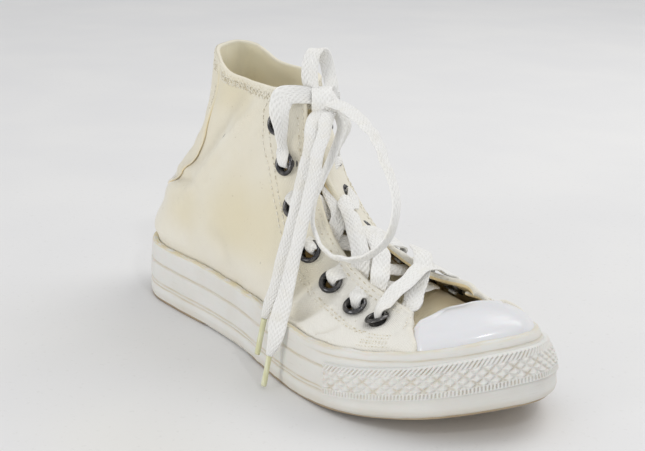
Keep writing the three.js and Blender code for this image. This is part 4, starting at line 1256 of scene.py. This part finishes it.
def toe_strip():
    even = np.linspace(0, 1, 6000)
    line = sole_line(0.0, even)
    chosen = line[line[:, 2] >= STRIP_FROM]
    share = even[line[:, 2] >= STRIP_FROM]
    reach = np.concatenate([[0], np.cumsum(np.linalg.norm(np.diff(chosen[:, :2], axis=0), axis=1))])
    length = reach[-1]
    a = np.linspace(0, length, STRIP_COLS)
    u = np.interp(a, reach, share)
    x = line_through(OUTLINE, u, True)[:, 0]
    toward = np.maximum(0, x - STRIP_FROM) / (LENGTH - STRIP_FROM)
    low = (6 + 3.2 * toward) / strip_height(x)
    high = 1 - (5.8 - 2.4 * toward) / strip_height(x)
    rows, dust, cloth = [], [], []
    for b in np.linspace(0, 1, STRIP_ROWS):
        h = low + (high - low) * b
        pattern = mould(a, np.full_like(a, b))
        crisp = step(np.minimum(a, length - a), 0.0, 0.7)
        side = step(b, 0.0, 0.02) * step(-b, -1.0, -0.98)
        worn = 0.85 + 0.15 * waves(np.column_stack([a, a * 0, a * 0 + b * 9]), 14.0, 81)
        out = 0.35 + crisp * side * (0.75 + STRIP_RELIEF * worn * pattern)
        line = sole_line(-out, u, h)
        rows.append(np.column_stack([line[:, :2], sole_base(line[:, 2]) + strip_height(line[:, 2]) * h]))
        along = a / (2 * DIAMOND_LONG)
        climb = b * STRIP_HIGH / (2 * DIAMOND_HIGH)
        crossing = (1 - saw(along + climb)) * (1 - saw(along - climb))
        dust.append((1 - pattern) ** 3 * (0.2 + 2.2 * crossing))
        cloth.append(np.column_stack([a, np.full_like(a, 6 + b * STRIP_HIGH), a * 0]))
    for row, h in ((rows[-1], high), (rows[0], low)):
        line = sole_line(0.3, u, h)
        rows.append(np.column_stack([line[:, :2], row[:, 2]]))
    points = np.vstack(rows)
    faces = grid_faces(STRIP_ROWS, STRIP_COLS)
    n = STRIP_ROWS * STRIP_COLS
    c = STRIP_COLS
    for k in range(c - 1):
        faces.append((n - c + k, n - c + k + 1, n + k + 1, n + k))
        faces.append((n + k, n + k + 1, n + c + k + 1, n + c + k))
        faces.append((n + c + k, n + c + k + 1, k + 1, k))
    for k in (0, c - 1):
        faces.append([r * c + k for r in range(STRIP_ROWS)] + [n + k, n + c + k])
    extra = np.zeros(2 * c)
    dust = np.concatenate([np.concatenate(dust), extra])
    cloth = np.vstack([*cloth, np.zeros((2 * c, 3))])
    return to_mesh("toe_strip_mould", points, faces, cloth=cloth, groove=np.clip(dust, 0, 1), glue=dust * 0)


STRIP = old_rubber("toe_strip_rubber", (0.79, 0.785, 0.765), (0.75, 0.74, 0.705), 0.48, 0.5)
dress(toe_strip(), "strip_rubber", STRIP, "toe_bumper")

# %% [markdown]
# ## Toe cap
# The cap is a dome of smooth rubber moulded over the toes, glossier and colder than the tape. Its rear edge
# is rolled. It is built as the cloth panels are, over the same last, so it fits its bed exactly.

# %% The cap
def cap():
    side = np.concatenate([SHORT_STEPS / 4.3, np.linspace(0.022, 0.978, 170), 1 - SHORT_STEPS[::-1] / 4.3])
    s = 34.75 - 5.5 * side
    reach = np.abs(s - STATIONS) / CAP_HALF
    crest = cap_crest(s)
    v = np.concatenate([np.linspace(0, 0.93, 60), [0.95, 0.965, 0.978, 0.988, 0.995, 1.0]])
    t = 0.9 + (crest[None] - 0.9) * v[:, None]
    s = np.broadcast_to(s[None], t.shape)
    tucked = np.broadcast_to((-2.9 * step(reach, 0.9, 1.06))[None], t.shape).ravel()
    free = ("top", "front", "back")
    return panel("toe_cap_dome", s, t, 1.6, free, low_lift=1.9, wave=0.12, hem=0.32, seed=33, folded=False,
                 raised=tucked)


cap_finish = Finish("cap_rubber", IOR=1.5, Coat_Weight=0.25, Coat_Roughness=0.1, Subsurface_Weight=0.06,
                    Subsurface_Scale=0.004)
cap_place = cap_finish.place()
cap_cloud = cap_finish.noise(cap_place, 22.0, 3.0)
cap_fine = cap_finish.noise(cap_place, 260.0, 4.0)
cap_tone = cap_finish.mix(cap_cloud.between(0.3, 0.7), (0.80, 0.80, 0.83), (0.765, 0.765, 0.785))
cap_edge = cap_finish.stored("edge") * cap_fine.between(0.35, 0.65)
cap_tone = cap_finish.mix((cap_edge * 0.5).held(), cap_tone, (0.78, 0.75, 0.66))
cap_marks = cap_fine.between(0.62, 0.76)
cap_tone = cap_finish.mix(cap_marks * 0.18, cap_tone, (0.6, 0.58, 0.55))
cap_rough = 0.3 + cap_marks * 0.3 + cap_cloud * 0.06
cap_normal = cap_finish.relief(cap_fine * 0.5 + cap_cloud * 0.8, 0.0004, 0.3)
CAP = cap_finish.wear(Base_Color=cap_tone, Roughness=cap_rough, Normal=cap_normal)
dress(cap(), "cap_rubber", CAP, "toe_cap")

# %% [markdown]
# ## Eyelets
# Each eyelet is a turned metal ring: a short barrel through the cloth, a domed flange outside and a small
# curled washer inside. A profile spun round the eyelet's axis gives all of them, the vents at a smaller
# scale. They are dark nickel, with paler and duller patches where they are worn.

# %% The metal rings
RING_TURNS = 40
RING_TILT = {
    "eyelet_outer_1_ring": (-0.25, 0.3, 0.25), "eyelet_outer_2_ring": (-0.12, 0.1, 0.1),
    "eyelet_outer_5_ring": (-0.2, -0.1, 0), "eyelet_outer_6_ring": (-0.3, -0.12, 0),
    "eyelet_inner_1_ring": (0, 0.15, 0), "eyelet_inner_2_ring": (0, 0.15, 0),
    "eyelet_inner_3_ring": (0, 0.15, 0), "eyelet_inner_4_ring": (0, 0.15, 0),
}  # the cloth has buckled round these
RING_PROFILE = [
    (2.62, -2.0), (2.6, -1.0), (2.62, 0.0), (2.78, 0.45), (3.0, 0.78), (3.3, 0.98), (3.65, 1.02), (4.0, 0.88),
    (4.3, 0.58), (4.5, 0.28), (4.6, 0.02), (4.4, -0.1), (3.9, -0.05), (3.2, 0.0), (3.15, -1.2),
    (3.3, -2.0), (4.0, -2.1), (4.2, -2.35), (3.9, -2.7), (3.3, -2.65), (2.9, -2.4),
]


FLANGE = 4.6
BURIED = 0.7  # how far the inner rings have sunk into the slack cloth


def mm_per_step(s, t, ds, dt):
    """how many mm the cloth runs for one unit of s and of t, measured over a small way about (s, t)"""
    per_s = np.linalg.norm(last_at(s + ds, t) - last_at(s - ds, t)) / (2 * ds)
    per_t = np.linalg.norm(last_at(s, t + dt) - last_at(s, t - dt)) / (2 * dt)
    return per_s, per_t


def ring_lift(s, t, scale):
    """how far the flange has to stand off for the cloth's curve"""
    centre = last_at(s, t)
    axis = last_normal(s, t)[0]
    a = np.arange(16) * math.pi / 8
    per_s, per_t = mm_per_step(s, t, 0.1, 0.1)
    reach = FLANGE * scale
    around = last_at(s + reach / per_s * np.cos(a), np.minimum(5, t + reach / per_t * np.sin(a)))
    return max(0.0, float(((around - centre) @ axis).max())) + 0.3


def ring_seat(name, s, t, scale):
    """the middle, the way it faces and the lift of the ring of one eyelet"""
    centre = last_at(s, t)[0]
    axis = unit(last_normal(s, t)[0] + RING_TILT.get(name, (0, 0, 0)))
    push, _ = folds_at(centre[None])
    buried = BURIED if "inner" in name else 0.0
    return centre, axis, ring_lift(s, t, scale) + float(push[0]) - buried


def ring(name, s, t, scale):
    centre, axis, lift = ring_seat(name, s, t, scale)
    first = unit(np.cross(axis, (1, 0, 0.3)))
    second = np.cross(axis, first)
    a = 2 * math.pi * np.arange(RING_TURNS) / RING_TURNS
    spin = first[None] * np.cos(a)[:, None] + second[None] * np.sin(a)[:, None]
    rows = []
    for radius, height in RING_PROFILE:
        rise = height * scale + lift if height > -0.3 else height
        rows.append(centre + spin * radius * scale + axis * rise)
    faces = grid_faces(len(rows), RING_TURNS, close_rows=True, close_cols=True)
    return to_mesh(name, np.vstack(rows), faces)


metal_finish = Finish("dark_nickel", Metallic=1.0, IOR=2.0)
metal_wear = metal_finish.noise(metal_finish.place(), 420.0, 4.0)
metal_tone = metal_finish.mix(metal_wear.between(0.4, 0.7), (0.075, 0.075, 0.08), (0.16, 0.155, 0.15))
metal_rough = 0.2 + metal_wear.between(0.45, 0.75) * 0.25
METAL = metal_finish.wear(Base_Color=metal_tone, Roughness=metal_rough)
for node, (s, t, scale) in EYELETS.items():
    dress(ring(f"{node}_ring", s, t, scale), "eyelet_metal", METAL, node)

# %% [markdown]
# ## Outsole and insole
# The outsole is a thin slab of tan rubber, seen only as a brown line under the tape and from below, where a
# tread of small diamonds is worn smooth under the ball and the heel. It curls up at the toe. Inside lies a
# cloth-covered insole, pressed down and darkened where the heel and the ball have stood.

# %% The outsole
SOLE_COLS = 460
SPINE = (34, 178)  # the middle line of the sole, that its rows of points run out from
ARCH_FROM = 58.0
ARCH_LONG = 52.0
ARCH_RISE = 1.2
PLATE = 1.6
TREAD = 0.55


def arch(x):
    u = np.clip((x - ARCH_FROM) / ARCH_LONG, 0, 1)
    return ARCH_RISE * np.minimum(1, np.minimum(4 * u, 4 * (1 - u)))


def from_spine(edge, share):
    """a row of points between the sole's middle line (share 0) and its edge (share 1)"""
    spine = np.clip(edge[:, 0], *SPINE)
    flat = np.column_stack([spine * (1 - share) + edge[:, 0] * share, edge[:, 1] * share])
    return flat, spine * (1 - share) + edge[:, 2] * share


def outsole():
    u = np.linspace(0, 1, SOLE_COLS, endpoint=False)
    edge = sole_line(0.5, u)
    rows = []
    for share in np.concatenate([np.linspace(0.0, 0.96, 74), [0.98, 0.992, 1.0]]):
        flat, along = from_spine(edge, share)
        base = sole_base(along) + arch(along)
        worn = bump_line(np.hypot((along - 152) / 1.6, flat[:, 1]), 22)
        worn = worn + bump_line(np.hypot(along - 18, flat[:, 1]), 22)
        nub = np.minimum(saw((flat[:, 0] + flat[:, 1]) / 6.5), saw((flat[:, 0] - flat[:, 1]) / 6.5))
        nub = np.clip(nub * 3 - 0.6, 0, 1) * np.clip(1 - 0.8 * worn, 0.1, 1)
        inside = step(-share, -0.95, -0.9)
        height = base + TREAD * (1 - nub) * inside + 0.18 * step(share, 0.98, 1.0)
        rows.append(np.column_stack([flat, height]))
    rim = [(0.28, 0.45), (0.25, 1.0), (0.35, PLATE - 0.1), (0.9, PLATE), (SIDEWALL + GAP, PLATE)]
    for inset, high in rim:
        line = sole_line(inset, u)
        height = sole_base(line[:, 2]) + np.maximum(high, arch(line[:, 2]) + 0.3)
        rows.append(np.column_stack([line[:, :2], height]))
    rows[-2][:, 2] = sole_base(edge[:, 2]) + PLATE
    for inset, high in ((SIDEWALL + GAP, CORE - 0.2), (SIDEWALL + 0.6, CORE)):
        line = sole_line(inset, u)
        rows.append(np.column_stack([line[:, :2], sole_base(line[:, 2]) + high]))
    for share in (0.75, 0.4, 0.0):
        flat, along = from_spine(edge, share)
        rows.append(np.column_stack([flat, sole_base(along) + CORE]))
    points = np.vstack(rows)
    faces = grid_faces(len(rows), SOLE_COLS, close_cols=True)
    low = step(-points[:, 2], -2.6, -0.2)
    return to_mesh("outsole_tread", points, faces, weld=0.02, cloth=points, groove=low * 0.4, glue=low * 0)


sole_finish = Finish("tan_rubber", IOR=1.5)
sole_place = sole_finish.place()
sole_cloud = sole_finish.noise(sole_place, 60.0, 4.0)
sole_fine = sole_finish.noise(sole_place, 380.0, 3.0)
sole_tone = sole_finish.mix(sole_cloud.between(0.3, 0.7), (0.40, 0.31, 0.20), (0.50, 0.41, 0.29))
sole_tone = sole_finish.mix(sole_fine.between(0.5, 0.75) * 0.5, sole_tone, (0.33, 0.26, 0.17))
sole_old = (1 - (sole_finish.parts(sole_place)[2] * 1000.0).between(1.5, 4.0)) * sole_cloud.between(0.3, 0.55)
sole_tone = sole_finish.mix(sole_old * 0.6, sole_tone, (0.24, 0.17, 0.11))
sole_rough = 0.6 + sole_cloud * 0.2
sole_normal = sole_finish.relief(sole_fine, 0.0003, 0.5)
SOLE = sole_finish.wear(Base_Color=sole_tone, Roughness=sole_rough, Normal=sole_normal)
dress(outsole(), "outsole_rubber", SOLE, "outsole")

# %% The insole
INSOLE_COLS = 240
INSOLE_THICK = 3.0


def insole():
    u = np.linspace(0, 1, INSOLE_COLS, endpoint=False)
    edge = sole_line(SIDEWALL + GAP + WALL + 0.9, u, 0.66)
    rows = []
    for share in np.concatenate([np.linspace(0.0, 0.95, 40), [0.975, 0.99, 1.0]]):
        flat, along = from_spine(edge, share)
        cup = 0.9 * bump_line(np.hypot((flat[:, 0] - 26) / 1.2, flat[:, 1]), 19)
        cup += 0.6 * bump_line(np.hypot((flat[:, 0] - 148) / 1.5, flat[:, 1]), 26)
        round_off = 0.5 * step(share, 0.96, 1.0)
        rows.append(np.column_stack([flat, sole_base(along) + CORE + GAP + INSOLE_THICK - cup - round_off]))
    rows.append(np.column_stack([edge[:, :2], sole_base(edge[:, 2]) + CORE + GAP + 0.3]))
    for share in (0.98, 0.5, 0.0):
        flat, along = from_spine(edge, share)
        rows.append(np.column_stack([flat, sole_base(along) + CORE + GAP]))
    points = np.vstack(rows)
    faces = grid_faces(len(rows), INSOLE_COLS, close_cols=True)
    heel = bump_line(np.hypot((points[:, 0] - 26) / 1.3, points[:, 1]), 20)
    ball = bump_line(np.hypot((points[:, 0] - 150) / 1.4, points[:, 1]), 26)
    cloth = np.column_stack([points[:, 0], points[:, 1], points[:, 0] * 0])
    return to_mesh("insole_sock", points, faces, weld=0.02, cloth=cloth, dirt=np.clip(heel + ball, 0, 1),
                   edge=heel * 0, rim=heel * 0)


def plain_cloth(name, clean, stained, dirty, pitch=THREAD_PITCH):
    """canvas that is seen only inside the shoe: a weave, a cloudy stain, and the stored mask of dirt and
    painted shade
    """
    finish = Finish(name, Roughness=0.9, Sheen_Weight=0.2)
    cloud = finish.noise(finish.place(), 38.0, 5.0)
    thread, _ = woven(finish, pitch)
    tone = finish.mix(cloud.between(0.35, 0.65), clean, stained)
    # the stored mask darkens the cloth: dirt, and on the tongue painted shade as well
    soil_and_shade = (finish.stored("dirt") * (0.45 + cloud * 0.9)).held()
    tone = finish.mix(soil_and_shade * 0.75, tone, dirty)
    tone = finish.mix(thread.between(-0.2, -0.9) * 0.2, tone, (0.42, 0.36, 0.24))
    return finish.wear(Base_Color=tone, Normal=finish.relief(thread, 0.00025, 0.7))


INSOLE = plain_cloth("sock_cloth", (0.70, 0.65, 0.52), (0.60, 0.53, 0.38), (0.36, 0.30, 0.20))
dress(insole(), "insole_cloth", INSOLE, "insole")

# %% [markdown]
# ## Tongue
# The tongue is a padded double sheet of the same canvas that lies under both flaps. Its colours are painted
# lighter than the outer canvas to stand in for light, and its edges under the flaps and its creases are
# painted yellow-brown as shade, with some dirt, so it is lightest along its middle line. Pulling the laces
# tight has creased it across.

# %% The tongue
TONGUE_MIDDLE = [
    (182, 3, 29.5), (161, 1, 31), (149, 0, 32.5), (138, -3, 39), (127, -6, 48), (115, -7.5, 58.5),
    (105, -7, 72), (97, -5, 87), (91, -2.5, 98),
]
TONGUE_THICK = 2.0
TONGUE_CREASES = [(0.16, 2.2), (0.24, 1.6), (0.33, 2.0), (0.46, 1.4), (0.6, 1.8), (0.74, 1.2)]


def tongue():
    v = np.concatenate([[0, 0.004, 0.012], np.linspace(0.025, 0.975, 100), [0.988, 0.996, 1.0]])
    u = np.concatenate([[0, 0.008, 0.02], np.linspace(0.04, 0.96, 60), [0.98, 0.992, 1.0]])
    s = 3.2 + v * 8 * 0.86
    low = np.full_like(s, 4.25)
    sunk = WALL + 1.3 + 1.2 * (1 - np.clip(v * 8, 0, 1))
    outer = last_at(s, low) - last_normal(s, low) * sunk[:, None]
    inner = last_at(32 - s, low) - last_normal(32 - s, low) * sunk[:, None]
    middle = line_through(TONGUE_MIDDLE, v)
    a = ((1 - u) * (1 - 2 * u))[None, :, None]
    b = (4 * u * (1 - u))[None, :, None]
    c = (u * (2 * u - 1))[None, :, None]
    sheet = outer[:, None] * a + middle[:, None] * b + inner[:, None] * c
    across = np.gradient(sheet, axis=1)
    along = np.gradient(sheet, axis=0)
    up = unit(np.cross(along, across))
    if up[..., 2].mean() < 0:
        up = -up
    flat = sheet.reshape(-1, 3)
    crease = np.zeros(len(flat))
    vv = np.repeat(v, len(u))
    uu = np.tile(u, len(v))
    for at, width in TONGUE_CREASES:
        bend = at + 0.02 * np.sin(uu * 5 + at * 40)
        crease += bump_line((vv - bend) * 110, width) * (0.4 + 0.6 * np.sin(math.pi * uu))
    soft = 0.35 * waves(flat, 14.0, 91) + 0.18 * waves(flat, 6.0, 92)
    edge = step(uu, 0.0, 0.03) * step(-uu, -1.0, -0.97) * step(vv, 0, 0.012) * step(-vv, -1.0, -0.988)
    push = (soft - 0.55 * crease) * edge - 0.35
    top = flat + up.reshape(-1, 3) * (push - 0.75 * (1 - edge))[:, None]
    base = flat - up.reshape(-1, 3) * (TONGUE_THICK - 0.6 * (1 - edge))[:, None]
    points = np.vstack([top, base])
    n = len(flat)
    rows, cols = len(v), len(u)
    faces = grid_faces(rows, cols) + grid_faces(rows, cols, start=n)
    loop = [r * cols for r in range(rows)] + [(rows - 1) * cols + k for k in range(1, cols)]
    loop += [r * cols + cols - 1 for r in range(rows - 2, -1, -1)] + list(range(cols - 2, 0, -1))
    for p, q in zip(loop, loop[1:] + loop[:1]):
        faces.append((p, q, n + q, n + p))
    reach = np.cumsum(np.linalg.norm(np.gradient(middle, axis=0), axis=1))
    one = np.column_stack([np.repeat(reach, cols), (uu - 0.5) * 50, uu * 0])
    # painted shade with some dirt: darker at the edges under the flaps and in the creases
    dirt = np.clip((np.abs(uu - 0.5) - 0.3) * 2.6 + crease * 0.35, 0, 1)
    return to_mesh("tongue_sheet", points, faces, cloth=np.vstack([one, one]), dirt=np.tile(dirt, 2),
                   edge=np.tile(1 - edge, 2), rim=np.tile(edge * 0, 2))


# colours painted lighter than the outer canvas, standing in for light; the last one is painted shade and dirt
TONGUE = plain_cloth("tongue_canvas", (0.93, 0.86, 0.66), (0.90, 0.77, 0.50), (0.62, 0.42, 0.20))
dress(tongue(), "tongue_canvas", TONGUE, "tongue")

# %% [markdown]
# ## The lacing
# The lace is threaded loosely and unevenly. Some lengths come up through an eyelet and cross over to dive
# under the far flap, some come out from under a flap and twist on their way over. Each is given by the
# points it passes. In an eyelet it bunches to the bore, outside it opens to its full width.

# %% Strands over the throat
STRANDS = {
    "point": (("inner", 2), [
        (148.6, 15, 44.6), (150.6, 10, 50), (157.6, 6.2, 49.4), (161, 2, 45.2), (164.2, -3, 40.5),
        (167.6, -7.6, 36.2)], ("under outer", 3.45)),
    "bar": (("outer", 1), [
        (161.8, -15.4, 36.8), (162.7, -11.5, 40.2), (162.5, -5.5, 43.9), (161.4, 2, 46.7), (160, 9, 45.4),
        (159.6, 14.5, 42.2)], ("inner", 1)),
    "second": (("outer", 2), [
        (148.6, -15.8, 36.6), (148.6, -12.6, 38.3), (150.5, -8, 38.6), (153.2, -2.5, 37.8),
        (158, 2.4, 37.3)], ("under inner", 27.6)),
    "third": (("outer", 3), [
        (137.8, -16, 42.4), (137.8, -13.5, 43.2), (138.9, -9.5, 42.9), (142.2, -4, 43),
        (144.5, 0.5, 42)], ("under inner", 26.6)),
    "cross_low": (("inner", 3), [
        (136, 8.5, 49.6), (134.6, 3, 52.6), (134.9, -0.5, 54.2), (139.5, -1.8, 52.2), (145.5, -4, 49),
        (149.6, -7, 45.6), (152.4, -10, 42.2)], ("under outer", 4.75)),
    "fourth": (("outer", 4), [
        (124, -17, 50.6), (124.4, -14.5, 51.4), (126.3, -11, 50.9), (129, -8, 49.8)], ("under inner", 25.7)),
    "twist": (("inner", 5), [
        (119.5, 3.5, 60.8), (121.8, 0, 62.6), (124.2, -3.5, 62.2), (130.5, -6.5, 60.2), (136, -8.5, 56.2),
        (139.8, -10, 52.2), (142.6, -11, 48.4)], ("under outer", 5.5)),
    "cross_high": (("inner", 6), [
        (107, 4, 74), (110, -1, 70.5), (112.6, -4.4, 68), (116.6, -6.2, 65.6), (121.8, -7.5, 62.3),
        (125.9, -9, 59.3)], ("under outer", 6.9)),
    "fifth": (("outer", 5), [
        (113, -17, 65.4), (114.3, -14.8, 65.8), (117.1, -12, 63.4), (119.9, -9.5, 60.6)],
        ("under inner", 24.9)),
    "climb_outer": (("outer", 6), [
        (106.8, -20.9, 84), (107.5, -21.9, 89), (107.4, -22.6, 94), (106.3, -22.4, 98.2), (105.6, -20, 101.4),
        (106.1, -15.8, 102.8), (106.9, -10.8, 102.2), (107.8, -6, 100.6)], None),
    "climb_inner": (("inner", 6), [
        (107.5, 7, 82), (110, 7, 88), (109.6, 5, 94), (108.4, 1, 98.2)], None),
}
STRAND_WIDE = {"climb_outer": [4.4, 5.4, 7.0, 8.2, 8.4, 7.6, 6.8, 6.0], "climb_inner": 5.2, "cross_high": 5.2}
BORE_WIDTH = 4.2
STRAND_WIDTH = 7.0
HUG = 0.9  # how much closer the strands of the sixth pair lie to their rings, in mm
UNDER_FLAP = 2.5  # how deep the hidden end of a strand lies under the flap's face


def strand_end(spec, last):
    """points and outward directions where a strand goes into an eyelet or under a flap"""
    kind, number = spec
    if kind in ("outer", "inner"):
        place = f"eyelet_{kind}_{number}"
        centre, up, lift = ring_seat(f"{place}_ring", *EYELETS[place])
        side = unit(np.asarray(last, float) - centre)
        side = unit(side - up * (side @ up))
        hug = HUG if number == 6 else 0.0
        points = [
            centre + side * (1.5 + hug) + up * (lift + 2.5 - hug),
            centre + side * (0.6 - 1.4 * hug) + up * (lift + 0.6 - 0.4 * hug),
            centre - up * 3.6 + side * (0.2 - hug),
        ]
        return points, [up] * 3, [5.6, BORE_WIDTH, BORE_WIDTH]
    points = [off_last(number, t, -UNDER_FLAP)[0] for t in (4.86, 4.5)]
    up = last_normal(number, 4.8)[0]
    return points, [up] * 2, [STRAND_WIDTH, STRAND_WIDTH * 0.85]


def outward_at(p):
    lean_back = np.clip((160 - p[0]) / 50, 0, 1)
    return unit(np.array([0.15 + 0.75 * lean_back, 0.012 * p[1], 1.0 - 0.5 * lean_back]))


def strand(name, start, points, end, seed, wide=STRAND_WIDTH):
    points = [np.array(p, float) for p in points]
    outs = [outward_at(p) for p in points]
    widths = list(np.broadcast_to(wide, (len(points),)))
    widths[0] = 0.9 * widths[0]
    lead, lead_out, lead_wide = strand_end(start, points[1])
    line = lead[::-1] + points
    outs = lead_out[::-1] + outs
    widths = lead_wide[::-1] + widths
    if end:
        tail, tail_out, tail_wide = strand_end(end, points[-2])
        line = line + tail
        outs = outs + tail_out
        widths = widths + tail_wide
    line = np.array(line)
    way = unit(np.gradient(line, axis=0))
    across = []
    for k in range(len(line)):
        turn = way[k]
        if k < 3:
            turn = unit(line[4] - line[2])
        if end and end[0] in ("outer", "inner") and k > len(line) - 4:
            turn = unit(line[-3] - line[-5])
        across.append(unit(np.cross(turn, outs[k])))
    piece, _, length = lace(name, line, across, widths, seed=seed)
    return piece, length


laid = []
for number, (name, (start, points, end)) in enumerate(STRANDS.items()):
    wide = STRAND_WIDE.get(name, STRAND_WIDTH)
    piece, length = strand(f"strand_{name}", start, points, end, 200 + 7 * number, wide)
    print("strand", name, round(length), "mm")
    laid.append(piece)
dress(joined("lace_crossings_laid", laid), "lace_cotton", LACE, "lace_crossings")

# %% [markdown]
# ## The ankle patch
# High canvas shoes carry a round rubber patch over the inner ankle. This one is left plain, with only its
# raised rings, so that it stands for no maker. It is a millimetre thick and follows the cloth.

# %% A plain round patch
PATCH_AT = (20.6, 3.05)
PATCH_RADIUS = 19.0


def patch():
    per_s, per_t = mm_per_step(*PATCH_AT, 0.5, 0.4)
    rounded = PATCH_RADIUS + np.array([-0.3, -0.1, 0, 0])
    radii = np.concatenate([np.linspace(0.02, PATCH_RADIUS - 0.6, 60), rounded])
    a = 2 * math.pi * np.arange(120) / 120
    r, turn = np.meshgrid(radii, a, indexing="ij")
    s = (PATCH_AT[0] + r * np.cos(turn) / per_s).ravel()
    t = (PATCH_AT[1] + r * np.sin(turn) / per_t).ravel()
    face = last_at(s, t)
    up = last_normal(s, t)
    push, _ = folds_at(face)
    soft = wavy(face, t, WAVES_INNER)
    rings = bump_line(r.ravel() - 17.2, 0.9) + 0.7 * bump_line(r.ravel() - 12.6, 0.5)
    high = 1.0 + 0.35 * rings
    high = np.where(r.ravel() >= PATCH_RADIUS - 0.15, 0.6, high)
    high[-120:] = -0.2
    points = face + up * (high + push + soft)[:, None]
    faces = grid_faces(len(radii), 120, close_cols=True)
    faces.append(list(range(120)))
    cloth = np.column_stack([r.ravel() * np.cos(turn.ravel()), 8 + r.ravel(), r.ravel() * 0])
    groove = bump_line(r.ravel() - 15.9, 0.3) + bump_line(r.ravel() - 13.4, 0.3)
    return to_mesh("ankle_patch", points, faces, cloth=cloth, groove=groove * 0.5, glue=groove * 0)


PATCH = old_rubber("patch_rubber", (0.66, 0.66, 0.68), (0.60, 0.595, 0.60), 0.45)
dress(patch(), "canvas", PATCH)
